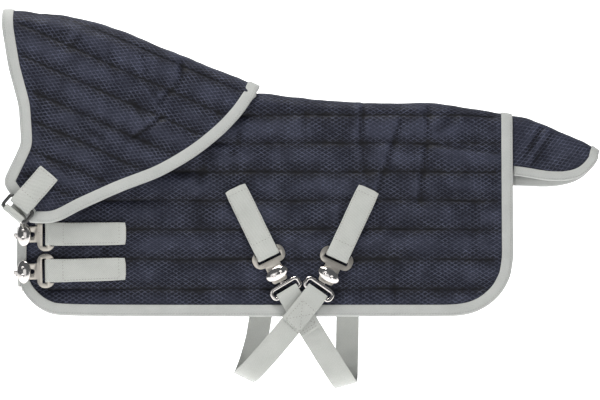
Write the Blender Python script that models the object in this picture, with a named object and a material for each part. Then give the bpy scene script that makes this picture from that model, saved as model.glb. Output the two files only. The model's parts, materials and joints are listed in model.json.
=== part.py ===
"""A quilted rug with a neck cover for a toy pony, hung folded along its spine.

Metres, +Z up. The neck points to -X, the tail to +X and the near (left) side to -Y.
The origin is on the underside of the lining, on the spine at the middle of the back.
Cloth is laid out in flat coordinates, x along the rug and s down from the spine,
and a Fold bends that flat cloth over the back.
"""

import math

import bmesh
import bpy
from mathutils import Matrix, Vector

MM = 0.001
NEAR, FAR = -1, 1

# Body of the rug
BODY_LENGTH = 435 * MM
BACK_LENGTH = 226 * MM  # withers to rear edge
REAR_X = 118 * MM
BODY_DEPTH = 187 * MM  # top of the back to the hem
PATTERN_DEPTH = 187 * MM  # the depth that the heights of the neck's edges and the chest are drawn for
DEPTH_SCALE = BODY_DEPTH / PATTERN_DEPTH
WITHERS_RISE = 10.8 * MM  # withers above the middle of the back
FOLD_RADIUS = 11 * MM
BODY_FLARE = 0.12  # how fast each side leans outwards
CHEST_CORNER = 42 * MM
REAR_CORNER = 50 * MM
CHEST_CURL = 8 * MM  # the chest edges turn in towards each other
CHEST_CURL_LENGTH = 30 * MM

# Layers, from the outside in
OUTER_THICK = 0.8 * MM
FILLING_THICK = 1.8 * MM
LINING_THICK = 0.8 * MM
PLY_GAP = 0.3 * MM
QUILT = OUTER_THICK + FILLING_THICK + LINING_THICK + 2 * PLY_GAP
BINDING_WIDTH = 9 * MM
BINDING_THICK = 0.7 * MM
BINDING_GAP = 0.4 * MM
SEAM_GAP = 0.3 * MM

# Neck cover
NECK_LENGTH = BODY_LENGTH - 210 * MM
NECK_PATTERN = 225 * MM  # the length that its outlines are drawn for
NECK_STRETCH = NECK_LENGTH / NECK_PATTERN
NECK_SIDE_CLEARANCE = 2 * MM  # neck lining to body outer cloth
NECK_RISE = 3.6 * MM  # neck topline above the body's, at the withers
NECK_RADIUS = FOLD_RADIUS + QUILT + NECK_SIDE_CLEARANCE
NECK_FLARE = 0.115

# Tail flap
TAIL_LENGTH = 75 * MM
TAIL_GAP = 2.6 * MM  # clear of the rear binding
TAIL_RADIUS = 9 * MM
TAIL_FLARE = 0.05
FAR_TAIL_DROP = 9 * MM  # the far side hangs lower

# Webbing
WEB_WIDTH = 20 * MM
WEB_THICK = 1.0 * MM
WEB_GAP = 0.3 * MM  # between the two layers of folded webbing
CLOTH_GAP = 0.7 * MM  # webbing to the cloth under it
BAR_GAP = 0.45 * MM  # webbing to the bar inside its loop

# Keeper: a plate with a slot for the webbing and a key slot for the hook
PLATE_THICK = 1.6 * MM
HEAD_LENGTH, HEAD_WIDTH = 30 * MM, 16 * MM
SLOT_HEIGHT = 3.8 * MM
SLOT_SIDE_GAP = 1.0 * MM
UPPER_BAR = 3.2 * MM
KEEPER_NECK = 14 * MM
KEY_TOP, KEY_BOTTOM = 8.6 * MM, 20.8 * MM  # below the slot
KEY_WIDTH = 4.4 * MM
LOWER_BAR = 2.2 * MM

# Hook: a domed head on a stem, a tongue behind the keeper, and a ring for the webbing
RING_LENGTH, RING_HEIGHT = WEB_WIDTH + 10 * MM, 11.8 * MM
RING_BAR = 3.2 * MM
RING_THICK = 2.4 * MM
RING_REACH = 15.3 * MM  # stem to the middle of the ring
TONGUE_WIDTH, TONGUE_THICK = 3.4 * MM, 1.2 * MM
TONGUE_GAP = 0.5 * MM  # behind the keeper
DOME_LENGTH, DOME_WIDTH, DOME_HEIGHT = 21 * MM, 12.4 * MM, 3.2 * MM
DOME_GAP = 0.4 * MM  # in front of the keeper
BEND_REACH = 9.2 * MM  # stem to where a chest hook's tongue turns in round the chest edge
BEND_TURN = 82  # degrees that it turns there
BEND_DEPTH = 17 * MM  # then runs inwards
BEND_BACK = 4.6 * MM  # then turns back to the ring behind the edge
BEND_RADIUS = 1.6 * MM

# Chest closure, upper then lower
CHEST_TAB_LENGTH = 68 * MM
CHEST_INSET = 24 * MM  # chest edge to the keeper's slot
CHEST_UPPER = 70.6 * MM * DEPTH_SCALE  # above the hem
CHEST_HEIGHTS = (CHEST_UPPER, CHEST_UPPER - WEB_WIDTH - 12.3 * MM)
CHEST_SLOPES = (0.5, 1.6)  # degrees that a tab drops towards the chest
CHEST_STEM = 18 * MM  # slot to hook stem, pulled tight
CHEST_TILT = -8  # degrees that the clips follow the curled edge
CHEST_SLACK = 1.6 * MM
CHEST_TOP_MARGIN = 6.8 * MM  # chest edge above the upper clip
CHEST_STRAP_END = 34 * MM  # sewn length on the far side

# Crossed surcingles, front then rear
SURCINGLE_TAB_LENGTH = 66 * MM
SURCINGLE_X = -66 * MM  # where they cross
# From where they cross, and above the hem
SURCINGLE_SLOTS = ((-9.6 * MM - WEB_WIDTH, 49.5 * MM), (WEB_WIDTH + 9 * MM, 48.2 * MM))
SURCINGLE_LEANS = (26, -25)  # degrees from straight down, positive towards the tail
RING_LEANS = (31, -35)
SURCINGLE_STEM = 15.2 * MM
SURCINGLE_TILTS = (0, 3)
SURCINGLE_LIFT = 0.5 * MM  # the clips sit on the quilting's crests
SURCINGLE_HEIGHTS = (2.1 * MM, 5.5 * MM)  # middle of the strap above the cloth where it crosses the hem
SURCINGLE_FOLD = 40 * MM  # length of the folded end
SURCINGLE_END = 52 * MM  # sewn length above the far hem

# Throat
THROAT_TAB_LENGTH = 36 * MM
THROAT_LEAN = -40.4
# The ring's upper bar, from the withers end of the neck
THROAT_AHEAD = 206.8 * MM * NECK_STRETCH
THROAT_DROP = 104 * MM * DEPTH_SCALE
THROAT_RING_LENGTH, THROAT_RING_HEIGHT = WEB_WIDTH + 8.6 * MM, 15 * MM
THROAT_WIRE = 3 * MM
THROAT_STRAP_END = 46 * MM  # sewn length on the far side
THROAT_BOW = 6 * MM

# Rows of faces round the spine and down each side
FOLD_ROWS, SIDE_ROWS = 5, 5


def clear_scene():
    for obj in list(bpy.data.objects):
        bpy.data.objects.remove(obj)


def finish(name, colour, roughness, metallic=0.0):
    """A Principled material."""
    made = bpy.data.materials.new(name)
    made.use_nodes = True
    shader = made.node_tree.nodes["Principled BSDF"]
    shader.inputs["Base Color"].default_value = (*colour, 1)
    shader.inputs["Roughness"].default_value = roughness
    shader.inputs["Metallic"].default_value = metallic
    return made


def add_object(name, mesh, material, parent=None):
    obj = bpy.data.objects.new(name, mesh)
    mesh.materials.clear()
    mesh.materials.append(material)
    bpy.context.scene.collection.objects.link(obj)
    if parent:
        obj.parent = parent
        obj.matrix_parent_inverse = parent.matrix_world.inverted()
    return obj


def add_pivot(name, place, parent=None):
    """An empty that stands on a joint's axis."""
    pivot = bpy.data.objects.new(name, None)
    pivot.empty_display_size = 10 * MM
    bpy.context.scene.collection.objects.link(pivot)
    pivot.matrix_world = place if isinstance(place, Matrix) else Matrix.Translation(place)
    if parent:
        pivot.parent = parent
        pivot.matrix_parent_inverse = parent.matrix_world.inverted()
    bpy.context.view_layer.update()
    return pivot


def mesh_from(bm, name, smooth=True):
    """Turns a closed bmesh into a mesh whose faces point out."""
    bmesh.ops.recalc_face_normals(bm, faces=bm.faces)
    if bm.calc_volume(signed=True) < 0:
        bmesh.ops.reverse_faces(bm, faces=bm.faces)
    mesh = bpy.data.meshes.new(name)
    bm.to_mesh(mesh)
    bm.free()
    if smooth:
        mesh.shade_smooth()
        mesh.set_sharp_from_angle(angle=math.radians(40))
    return mesh


def smooth_curve(points):
    """A function of x through the points, rounded between them."""
    points = sorted(points)
    slopes = []
    for i in range(len(points)):
        before, after = points[max(i - 1, 0)], points[min(i + 1, len(points) - 1)]
        slopes.append((after[1] - before[1]) / (after[0] - before[0]))

    def height(x):
        x = min(max(x, points[0][0]), points[-1][0])
        i = max(k for k in range(len(points) - 1) if points[k][0] <= x)
        (x0, y0), (x1, y1) = points[i], points[i + 1]
        span = x1 - x0
        t = (x - x0) / span
        return (
            (2 * t**3 - 3 * t**2 + 1) * y0
            + (t**3 - 2 * t**2 + t) * span * slopes[i]
            + (3 * t**2 - 2 * t**3) * y1
            + (t**3 - t**2) * span * slopes[i + 1]
        )

    return height


def path_through(points, count):
    """That many points along a smooth path through the given 2D points."""
    lengths = [0.0]
    for a, b in zip(points, points[1:]):
        lengths.append(lengths[-1] + math.dist(a, b))
    along = [smooth_curve(list(zip(lengths, [p[axis] for p in points]))) for axis in (0, 1)]
    steps = [lengths[-1] * i / (count - 1) for i in range(count)]
    return [(along[0](step), along[1](step)) for step in steps]


class Fold:
    """Bends flat cloth over a rounded spine; offset counts inwards from the outer face."""

    def __init__(self, topline, radius, flare, curl=None):
        self.topline = topline
        self.radius = radius
        self.lean = math.atan(flare)
        self.curl = curl or (lambda x: 0.0)

    def flat(self, x, z):
        """The flat coordinates of a point seen from the side."""
        depth = max(self.topline(x) - z, 0.0)
        if depth < self.radius:
            return (x, self.radius * math.acos(1 - depth / self.radius))
        return (x, self.radius * math.pi / 2 + (depth - self.radius) / math.cos(self.lean))

    def place(self, x, s, offset, side):
        quarter = self.radius * math.pi / 2
        if s < quarter:
            angle = s / self.radius
            depth = self.radius - (self.radius - offset) * math.cos(angle)
            out = (self.radius - offset) * math.sin(angle)
        else:
            depth = self.radius + (s - quarter) * math.cos(self.lean)
            out = self.radius - offset + (s - quarter) * math.sin(self.lean)
        return Vector((x, side * (out - self.curl(x)), self.topline(x) - depth))

    def on_face(self, x, z, side):
        """The point on the outer face at a place seen from the side."""
        return self.place(*self.flat(x, z), 0.0, side)


# Outlines, seen from the side
WITHERS_X = REAR_X - BACK_LENGTH
CHEST_X = REAR_X - BODY_LENGTH
HEM_Z = QUILT - BODY_DEPTH
CHEST_TOP_Z = HEM_Z + CHEST_HEIGHTS[0] + CHEST_TOP_MARGIN
BACK_DIPS = ((0.175, 4.3), (0.37, 1.1), (0.478, 0), (0.6, -0.3), (0.73, 0.2), (0.81, -3.3), (1, -10.5))
NECKLINE = ((0.1, 0.06), (0.25, 0.2), (0.44, 0.42), (0.63, 0.6), (0.82, 0.78))


def back_line():
    points = [(WITHERS_X, QUILT + WITHERS_RISE)]
    points += [(WITHERS_X + share * BACK_LENGTH, QUILT + rise * MM) for share, rise in BACK_DIPS]
    return smooth_curve(points)


def neckline():
    low, high = CHEST_TOP_Z, QUILT + WITHERS_RISE
    points = [(CHEST_X, low), (WITHERS_X, high)]
    for share, drop in NECKLINE:
        points.append((WITHERS_X - share * (WITHERS_X - CHEST_X), high - drop * (high - low)))
    return smooth_curve(points)


def chest_curl(x):
    into = max(CHEST_X + CHEST_CURL_LENGTH - x, 0.0) / CHEST_CURL_LENGTH
    return CHEST_CURL * into**2


BODY_LINE = back_line()
BODY_NECKLINE = neckline()
BODY = Fold(BODY_LINE, FOLD_RADIUS, BODY_FLARE, chest_curl)

NECK_END_X = WITHERS_X + 3 * MM
NECK_BASE_Z = QUILT + WITHERS_RISE + NECK_RISE
NECK_RISES = ((0, 0), (9.7, 5.3), (33.4, 13.9), (66.9, 27.6), (92.4, 37.9), (119.7, 49.7), (146.1, 57),
              (157.5, 60.8), (176.9, 63.7), (200.6, 67.4), (225, 67.4))
NECK_LINE = smooth_curve(
    [(NECK_END_X - ahead * MM * NECK_STRETCH, NECK_BASE_Z + rise * MM) for ahead, rise in NECK_RISES]
)
NECK = Fold(NECK_LINE, NECK_RADIUS, NECK_FLARE)
# How far each point of an edge lies ahead of the withers end of the neck, and above its base
NECK_FRONT = ((225.4, 54), (222.6, 31.7), (218.6, 13.5), (213.8, -4.4), (209.6, -19.4), (209.4, -30.9),
              (206.8, -39.7), (205.7, -45.8), (209.1, -53.8), (220.3, -73.6), (223.7, -86), (222, -95.1),
              (214, -110), (199.8, -118.9))
NECK_REAR = ((199.8, -118.9), (190.1, -123.3), (179.9, -121.3), (154, -106.1), (125.8, -93.8), (87.1, -79.3),
             (76.6, -73.6), (53.7, -59.5), (26.8, -37), (12.3, -20.3), (4.2, -8))

TAIL_X = REAR_X + TAIL_GAP
TAIL_LINE_RISES = ((0, 0), (8, -0.7), (33, -10.8), (69, -26.4), (75, -31.5))
TAIL_EDGE_DROPS = ((0, 51.8), (14, 54.1), (36, 56.9), (56, 54.6), (67, 47), (72.5, 39.5))
TAIL_BASE_Z = QUILT - 11.3 * MM
TAIL_PATTERN = 75 * MM
TAIL_LINE = smooth_curve(
    [(TAIL_X + along * MM * TAIL_LENGTH / TAIL_PATTERN, TAIL_BASE_Z + rise * MM) for along, rise in TAIL_LINE_RISES]
)
TAIL = Fold(TAIL_LINE, TAIL_RADIUS, TAIL_FLARE)


class Panel:
    """A piece of cloth as columns of flat points that run from its top edge to its bottom edge."""

    def __init__(self, fold, tops, bottoms, front=None):
        self.fold = fold
        self.columns = []
        last = len(tops) - 1
        for i, (top, bottom) in enumerate(zip(tops, bottoms)):
            column = []
            for s in self.rows(top[1], bottom[1]):
                share = (s - top[1]) / (bottom[1] - top[1])
                x = top[0] + (bottom[0] - top[0]) * share
                if front:
                    straight = tops[0][0] + (bottoms[0][0] - tops[0][0]) * share
                    level = tops[0][1] + (bottoms[0][1] - tops[0][1]) * share
                    x += (1 - i / last) ** 2 * (front(level) - straight)
                column.append((x, s))
            self.columns.append(column)

    def rows(self, top, bottom):
        """Close rows round the spine, then even ones down the side."""
        bend = self.fold.radius * math.pi / 2
        bend = max(min(bend, (top + bottom) / 2), top + 3 * MM if bottom - top > 6 * MM else top)
        close = [top + (bend - top) * k / FOLD_ROWS for k in range(FOLD_ROWS)]
        return close + [bend + (bottom - bend) * k / SIDE_ROWS for k in range(SIDE_ROWS + 1)]

    def layer(self, name, offset, thick, side):
        """The cloth between two offsets, as a sheet extruded into a solid."""
        bm = bmesh.new()
        key = bm.verts.layers.int.new("place")
        flat, grid = [], []
        for column in self.columns:
            line = []
            for point in column:
                vert = bm.verts.new(self.fold.place(*point, offset, side))
                vert[key] = len(flat)
                flat.append(point)
                line.append(vert)
            grid.append(line)
        for left, right in zip(grid, grid[1:]):
            for j in range(len(left) - 1):
                bm.faces.new((left[j], right[j], right[j + 1], left[j + 1]))
        made = bmesh.ops.extrude_face_region(bm, geom=list(bm.faces), use_keep_orig=True)
        for vert in (item for item in made["geom"] if isinstance(item, bmesh.types.BMVert)):
            vert.co = self.fold.place(*flat[vert[key]], offset + thick, side)
        return mesh_from(bm, name)

    def bottom_edge(self):
        return [column[-1] for column in self.columns]

    def first_edge(self):
        return list(self.columns[0])

    def last_edge(self):
        return list(self.columns[-1])


def binding(name, fold, path, ply, side, width=BINDING_WIDTH):
    """A tape folded round an edge. The cloth lies to the left of the path in flat coordinates."""
    inner, outer = BINDING_GAP, BINDING_GAP + BINDING_THICK
    half = width / 2
    section = (
        (width, -outer), (half, -outer), (-outer, -outer), (-outer, ply + outer), (half, ply + outer),
        (width, ply + outer), (width, ply + inner), (half, ply + inner), (-inner, ply + inner),
        (-inner, -inner), (half, -inner), (width, -inner),
    )
    bm = bmesh.new()
    loops = []
    for i, point in enumerate(path):
        before, after = path[max(i - 1, 0)], path[min(i + 1, len(path) - 1)]
        along = Vector((after[0] - before[0], after[1] - before[1])).normalized()
        inwards = Vector((-along.y, along.x))
        loop = []
        for across, offset in section:
            x, s = point[0] + inwards.x * across, point[1] + inwards.y * across
            loop.append(bm.verts.new(fold.place(x, max(s, SEAM_GAP / 2), offset, side)))
        loops.append(loop)
    count = len(section)
    for a, b in zip(loops, loops[1:]):
        for k in range(count):
            bm.faces.new((a[k], a[(k + 1) % count], b[(k + 1) % count], b[k]))
    for end in (loops[0], loops[-1]):
        top = end[:6] + end[6:]
        bm.faces.new((top[0], top[1], top[10], top[11]))
        bm.faces.new((top[1], top[2], top[9], top[10]))
        bm.faces.new((top[2], top[3], top[8], top[9]))
        bm.faces.new((top[3], top[4], top[7], top[8]))
        bm.faces.new((top[4], top[5], top[6], top[7]))
    return mesh_from(bm, name)


def body_panel():
    """Columns follow the round corners at the chest and the rear."""
    stations = []
    for i in range(6):
        stations.append(CHEST_X + CHEST_CORNER * (1 - math.cos(math.radians(18 * i))))
    start, end = CHEST_X + CHEST_CORNER, REAR_X - REAR_CORNER
    stations += [start + (end - start) * i / 16 for i in range(1, 16)]
    for i in range(6):
        stations.append(REAR_X - REAR_CORNER * (1 - math.sin(math.radians(18 * i))))
    tops, bottoms = [], []
    for x in stations:
        low = HEM_Z
        if x < start:
            low += CHEST_CORNER - math.sqrt(max(CHEST_CORNER**2 - (start - x) ** 2, 0.0))
        if x > end:
            low += REAR_CORNER - math.sqrt(max(REAR_CORNER**2 - (x - end) ** 2, 0.0))
        if x < WITHERS_X:
            tops.append(BODY.flat(x, BODY_NECKLINE(x)))
        else:
            tops.append((x, SEAM_GAP / 2))
        tops[-1] = (x, max(tops[-1][1], SEAM_GAP / 2))
        bottoms.append(BODY.flat(x, low))
    return Panel(BODY, tops, bottoms)


def neck_points(pairs):
    points = []
    for ahead, rise in pairs:
        z = NECK_BASE_Z + rise * MM * (DEPTH_SCALE if rise < 0 else 1)
        points.append(NECK.flat(NECK_END_X - ahead * MM * NECK_STRETCH, z))
    return points


def neck_panel():
    columns = 13
    poll = (neck_points(NECK_FRONT[:1])[0][0], SEAM_GAP / 2)
    front = smooth_curve([(s, x) for x, s in [poll] + neck_points(NECK_FRONT)])
    rear = path_through(neck_points(NECK_REAR), columns)
    tops = []
    for i in range(columns):
        tops.append((poll[0] + (NECK_END_X - poll[0]) * i / (columns - 1), SEAM_GAP / 2))
    return Panel(NECK, tops, rear, front)


def tail_panel(drop):
    columns = 9
    stretch = TAIL_LENGTH / TAIL_PATTERN
    edge = [
        (TAIL_X + along * MM * stretch, TAIL_BASE_Z - depth * MM - drop * (1 - along * MM / TAIL_PATTERN))
        for along, depth in TAIL_EDGE_DROPS
    ]
    bottoms = path_through([TAIL.flat(*point) for point in edge], columns)
    tops = [(TAIL_X + TAIL_LENGTH * i / (columns - 1), SEAM_GAP / 2) for i in range(columns)]
    return Panel(TAIL, tops, bottoms)


def quilt_layers(prefix, panel, side, finishes, parent=None, plies=None):
    offset = 0.0
    side_name = "near" if side == NEAR else "far"
    for ply, thick in plies or (("outer", OUTER_THICK), ("filling", FILLING_THICK), ("lining", LINING_THICK)):
        mesh = panel.layer(ply, offset, thick, side)
        add_object(f"{prefix}_{ply}_{side_name}", mesh, finishes[ply], parent)
        offset += thick + PLY_GAP


def add_body(finishes):
    panel = body_panel()
    hem = panel.bottom_edge()
    chest = panel.first_edge()
    rear = panel.last_edge()
    path = without_repeats(rear + list(reversed(hem))[1:] + list(reversed(chest))[1:])
    clear = BINDING_WIDTH + 2 * BINDING_THICK
    top = [column[0] for column in panel.columns if CHEST_X + clear < column[0][0] < WITHERS_X - 2 * clear]
    for side, name in ((NEAR, "near"), (FAR, "far")):
        quilt_layers("body", panel, side, finishes)
        add_object(f"body_binding_{name}", binding("tape", BODY, path, QUILT, side), finishes["binding"])
        edge = binding("tape", BODY, top, QUILT, side)
        add_object(f"neckline_binding_{name}", edge, finishes["binding"])


def without_repeats(path):
    """Drops points that repeat, so every step of a path has a length."""
    kept = [path[0]]
    for point in path[1:]:
        if math.dist(point, kept[-1]) > 0.5 * MM:
            kept.append(point)
    return kept


def add_neck(finishes, pivot):
    panel = neck_panel()
    rear = panel.bottom_edge()
    front = [point for point in panel.first_edge() if point[1] < rear[0][1] - 2 * BINDING_WIDTH]
    rear = [point for point in rear if point[1] > 1.5 * NECK_RADIUS]
    for side, name in ((NEAR, "near"), (FAR, "far")):
        quilt_layers("neck", panel, side, finishes, pivot)
        edge = binding("tape", NECK, list(reversed(front)), QUILT, side)
        add_object(f"neck_front_binding_{name}", edge, finishes["binding"], pivot)
        edge = binding("tape", NECK, list(reversed(rear)), QUILT, side)
        add_object(f"neck_rear_binding_{name}", edge, finishes["binding"], pivot)


def add_tail(finishes, pivot):
    plies = (("outer", OUTER_THICK), ("lining", LINING_THICK))
    ply = OUTER_THICK + PLY_GAP + LINING_THICK
    for side, name, drop in ((NEAR, "near", 0), (FAR, "far", FAR_TAIL_DROP)):
        panel = tail_panel(drop)
        quilt_layers("tail", panel, side, finishes, pivot, plies)
        path = list(reversed(panel.bottom_edge()))
        edge = binding("tape", TAIL, path, ply, side, BINDING_WIDTH * 0.8)
        add_object(f"tail_binding_{name}", edge, finishes["binding"], pivot)


def frame_on(fold, start, end, side=NEAR):
    """A frame on the cloth at end: u across, v on along the line from start to end, w outwards."""
    first, last = fold.on_face(*start, side), fold.on_face(*end, side)
    near = (0.3 * start[0] + 0.7 * end[0], 0.3 * start[1] + 0.7 * end[1])
    step = 2 * MM
    along_x = fold.on_face(near[0] + step, near[1], side) - fold.on_face(near[0] - step, near[1], side)
    along_z = fold.on_face(near[0], near[1] + step, side) - fold.on_face(near[0], near[1] - step, side)
    v = (last - first).normalized()
    w = along_x.cross(along_z).normalized() * -side
    w = (w - v * w.dot(v)).normalized()
    return placed(v.cross(w), v, w, last)


def placed(u, v, w, origin):
    rows = [(u[i], v[i], w[i], origin[i]) for i in range(3)]
    return Matrix(rows + [(0, 0, 0, 1)])


def turned(frame, v, w, degrees):
    """The frame turned about its u axis through (v, w); positive lifts the far end outwards."""
    there = Matrix.Translation((0, v, w))
    return frame @ there @ Matrix.Rotation(math.radians(degrees), 4, "X") @ there.inverted()


def ahead_of(point, length, lean):
    """The point that lies length behind in the side view, on a line that leans by degrees."""
    angle = math.radians(lean)
    return (point[0] - length * math.sin(angle), point[1] + length * math.cos(angle))


def arc(centre, radius, start, end, count):
    """Points round an arc in a (v, w) plane, angles in degrees from +v to +w."""
    points = []
    for i in range(count):
        angle = math.radians(start + (end - start) * i / (count - 1))
        points.append((centre[0] + radius * math.cos(angle), centre[1] + radius * math.sin(angle)))
    return points


def ribbon(stations, width=WEB_WIDTH, thick=WEB_THICK):
    """A strap through (centre, direction across) pairs, as a closed mesh."""
    bm = bmesh.new()
    loops = []
    for i, (centre, across) in enumerate(stations):
        before = stations[max(i - 1, 0)][0]
        after = stations[min(i + 1, len(stations) - 1)][0]
        along = (after - before).normalized()
        across = (across - along * across.dot(along)).normalized()
        face = along.cross(across) * (thick / 2)
        side = across * (width / 2)
        corners = (side + face, face - side, -side - face, side - face)
        loops.append([bm.verts.new(centre + corner) for corner in corners])
    for a, b in zip(loops, loops[1:]):
        for k in range(4):
            bm.faces.new((a[k], a[(k + 1) % 4], b[(k + 1) % 4], b[k]))
    bm.faces.new(loops[0])
    bm.faces.new(loops[-1])
    return mesh_from(bm, "webbing")


def folded_webbing(frame, bar, bar_half, length, base, slack=0.0):
    """A tab: sewn at the far end, its other end looped round a bar at (v, w) in the frame."""
    reach = bar_half + BAR_GAP + WEB_THICK / 2
    low = base + CLOTH_GAP + WEB_THICK / 2
    flat_low = CLOTH_GAP + WEB_THICK / 2
    high = flat_low + WEB_THICK + WEB_GAP
    turn = (bar[0] + slack, bar[1])
    clear = 3 * reach
    path = [(bar[0] - length, flat_low), (bar[0] - 4 * clear, flat_low), (bar[0] - 2 * clear, low)]
    path += [(bar[0] - clear / 2, max(low, bar[1] - reach))] + arc(turn, reach, -90, 90, 9)
    path += [(bar[0] - clear / 2, bar[1] + reach), (bar[0] - 2 * clear, low + WEB_THICK + WEB_GAP)]
    path += [(bar[0] - 4 * clear, high), (bar[0] - length, high)]
    across = frame.to_3x3() @ Vector((1, 0, 0))
    return ribbon([(frame @ Vector((0, *point)), across) for point in path])


def rounded_outline(points, radius, steps=2, closed=True):
    """An outline with each corner rounded; a point may carry its own radius."""
    made = []
    count = len(points)
    for i, point in enumerate(points):
        here = Vector(point[:2])
        size = point[2] if len(point) > 2 else radius
        if not closed and i in (0, count - 1):
            made.append(tuple(here))
            continue
        back = (Vector(points[i - 1][:2]) - here).normalized()
        on = (Vector(points[(i + 1) % count][:2]) - here).normalized()
        half = back.angle(on) / 2
        if size <= 0 or half > math.radians(88):
            made.append(tuple(here))
            continue
        reach = size / math.tan(half)
        centre = here + (back + on).normalized() * (size / math.sin(half))
        first, last = here + back * reach - centre, here + on * reach - centre
        sweep = first.angle_signed(last)
        for k in range(steps + 1):
            turn = Matrix.Rotation(-sweep * k / steps, 2)
            made.append(tuple(centre + turn @ first))
    return made


def plate(outlines, thick):
    """A flat plate of 2D outlines, the first its edge and the others holes."""
    bm = bmesh.new()
    edges = []
    for outline in outlines:
        ring = [bm.verts.new((x, y, -thick / 2)) for x, y in outline]
        edges += [bm.edges.new((ring[i - 1], ring[i])) for i in range(len(ring))]
    bmesh.ops.triangle_fill(bm, use_beauty=True, use_dissolve=False, edges=edges, normal=(0, 0, 1))
    made = bmesh.ops.extrude_face_region(bm, geom=list(bm.faces), use_keep_orig=True)
    top = [item for item in made["geom"] if isinstance(item, bmesh.types.BMVert)]
    bmesh.ops.translate(bm, vec=(0, 0, thick), verts=top)
    return mesh_from(bm, "plate")


def evaluated(data, joined=()):
    """The mesh of a curve, or of a mesh with others joined to it by Boolean unions."""
    holder = bpy.data.objects.new("holder", data)
    bpy.context.scene.collection.objects.link(holder)
    helpers = []
    for other in joined:
        helper = bpy.data.objects.new("helper", other)
        bpy.context.scene.collection.objects.link(helper)
        helpers.append(helper)
        union = holder.modifiers.new("union", "BOOLEAN")
        union.operation = "UNION"
        union.object = helper
    bpy.context.view_layer.update()
    mesh = bpy.data.meshes.new_from_object(holder.evaluated_get(bpy.context.evaluated_depsgraph_get()))
    for made in [holder] + helpers:
        bpy.data.objects.remove(made)
    bm = bmesh.new()
    bm.from_mesh(mesh)
    bmesh.ops.remove_doubles(bm, verts=bm.verts, dist=0.002 * MM)
    return mesh_from(bm, "metal")


def keeper_mesh():
    """Local frame: slot at the origin, u across, v towards the hook, w outwards."""
    half, wide = HEAD_LENGTH / 2, HEAD_WIDTH / 2
    middle = -1.5 * MM
    low, high = middle + wide, middle - wide
    recess = SLOT_HALF - SLOT_SIDE_GAP / 2
    bar_edge = -SLOT_HEIGHT / 2 - UPPER_BAR
    neck, end = KEEPER_NECK / 2, KEY_BOTTOM + LOWER_BAR
    corner = 4.2 * MM
    edge = [
        (-half, low, corner), (-neck, low, 1.2 * MM), (-neck, end, 2.5 * MM), (neck, end, 2.5 * MM),
        (neck, low, 1.2 * MM), (half, low, corner), (half, high, corner), (recess, high, 1.2 * MM),
        (recess, bar_edge, 0.8 * MM), (-recess, bar_edge, 0.8 * MM), (-recess, high, 1.2 * MM),
        (-half, high, corner),
    ]
    slot, key = SLOT_HEIGHT / 2, KEY_WIDTH / 2
    hole = [(-SLOT_HALF, -slot), (SLOT_HALF, -slot), (SLOT_HALF, slot), (-SLOT_HALF, slot)]
    keyhole = [(-key, KEY_TOP), (key, KEY_TOP), (key, KEY_BOTTOM), (-key, KEY_BOTTOM)]
    outlines = [rounded_outline(edge, corner), rounded_outline(hole, 1.0 * MM, 1),
                rounded_outline(keyhole, 1.4 * MM, 1)]
    return plate(outlines, PLATE_THICK)


def dome_mesh():
    """A lens with a flat back, longest along u."""
    bm = bmesh.new()
    bmesh.ops.create_uvsphere(bm, u_segments=16, v_segments=8, radius=1)
    bmesh.ops.scale(bm, vec=(DOME_LENGTH / 2, DOME_WIDTH / 2, DOME_HEIGHT), verts=bm.verts)
    geometry = list(bm.verts) + list(bm.edges) + list(bm.faces)
    cut = bmesh.ops.bisect_plane(bm, geom=geometry, plane_co=(0, 0, 0.3 * MM), plane_no=(0, 0, 1),
                                 clear_inner=True)
    edges = [item for item in cut["geom_cut"] if isinstance(item, bmesh.types.BMEdge)]
    bmesh.ops.contextual_create(bm, geom=edges)
    bmesh.ops.translate(bm, vec=(0, 0, DOME_BACK - 0.3 * MM), verts=bm.verts)
    return mesh_from(bm, "dome")


def bent_tongue():
    """The corners of a chest hook's tongue as (v, w), and the direction of its ring."""
    bend = math.radians(BEND_TURN)
    inwards = Vector((math.cos(bend), -math.sin(bend)))
    turn = Vector((BEND_REACH, TONGUE_W))
    deep = turn + inwards * BEND_DEPTH
    ring = deep + Vector((inwards.y, -inwards.x)) * BEND_BACK
    return [Vector((-1.7 * MM, TONGUE_W)), turn, deep, ring], inwards


def hook_mesh(bent):
    """Local frame: stem at the origin in the keeper's middle plane, v towards the webbing."""
    half, tall = RING_LENGTH / 2, RING_HEIGHT / 2
    outer = [(-half, -tall), (half, -tall), (half, tall), (-half, tall)]
    inner = [(x - math.copysign(RING_BAR, x), y - math.copysign(RING_BAR, y)) for x, y in outer]
    ring = plate([rounded_outline(outer, 4.6 * MM, 3), rounded_outline(inner, 1.8 * MM)], RING_THICK)
    back = TONGUE_W
    if bent:
        corners, inwards = bent_tongue()
        middle = corners[-1] + inwards * (tall - RING_BAR / 2)
        there = Matrix.Translation((0, *middle))
        ring.transform(there @ Matrix.Rotation(-math.radians(BEND_TURN), 4, "X"))
        path = rounded_outline(corners, BEND_RADIUS, 4, False)
    else:
        ring.transform(Matrix.Translation((0, RING_REACH, 0)))
        start = RING_REACH - tall
        path = [(-1.7 * MM, back), (start - 1.0 * MM, back), (start + 1.2 * MM, -0.3 * MM)]
    stations = [(Vector((0, *point)), Vector((1, 0, 0))) for point in path]
    tongue = ribbon(stations, TONGUE_WIDTH, TONGUE_THICK)
    bm = bmesh.new()
    tall_stem = DOME_BACK - back + 1.2 * MM
    bmesh.ops.create_cone(bm, cap_ends=True, segments=8, radius1=1.45 * MM, radius2=1.45 * MM, depth=tall_stem,
                          matrix=Matrix.Translation((0, 0, (DOME_BACK + back) / 2 + 0.3 * MM)))
    stem = mesh_from(bm, "stem")
    return evaluated(ring, (tongue, stem, dome_mesh()))


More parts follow.
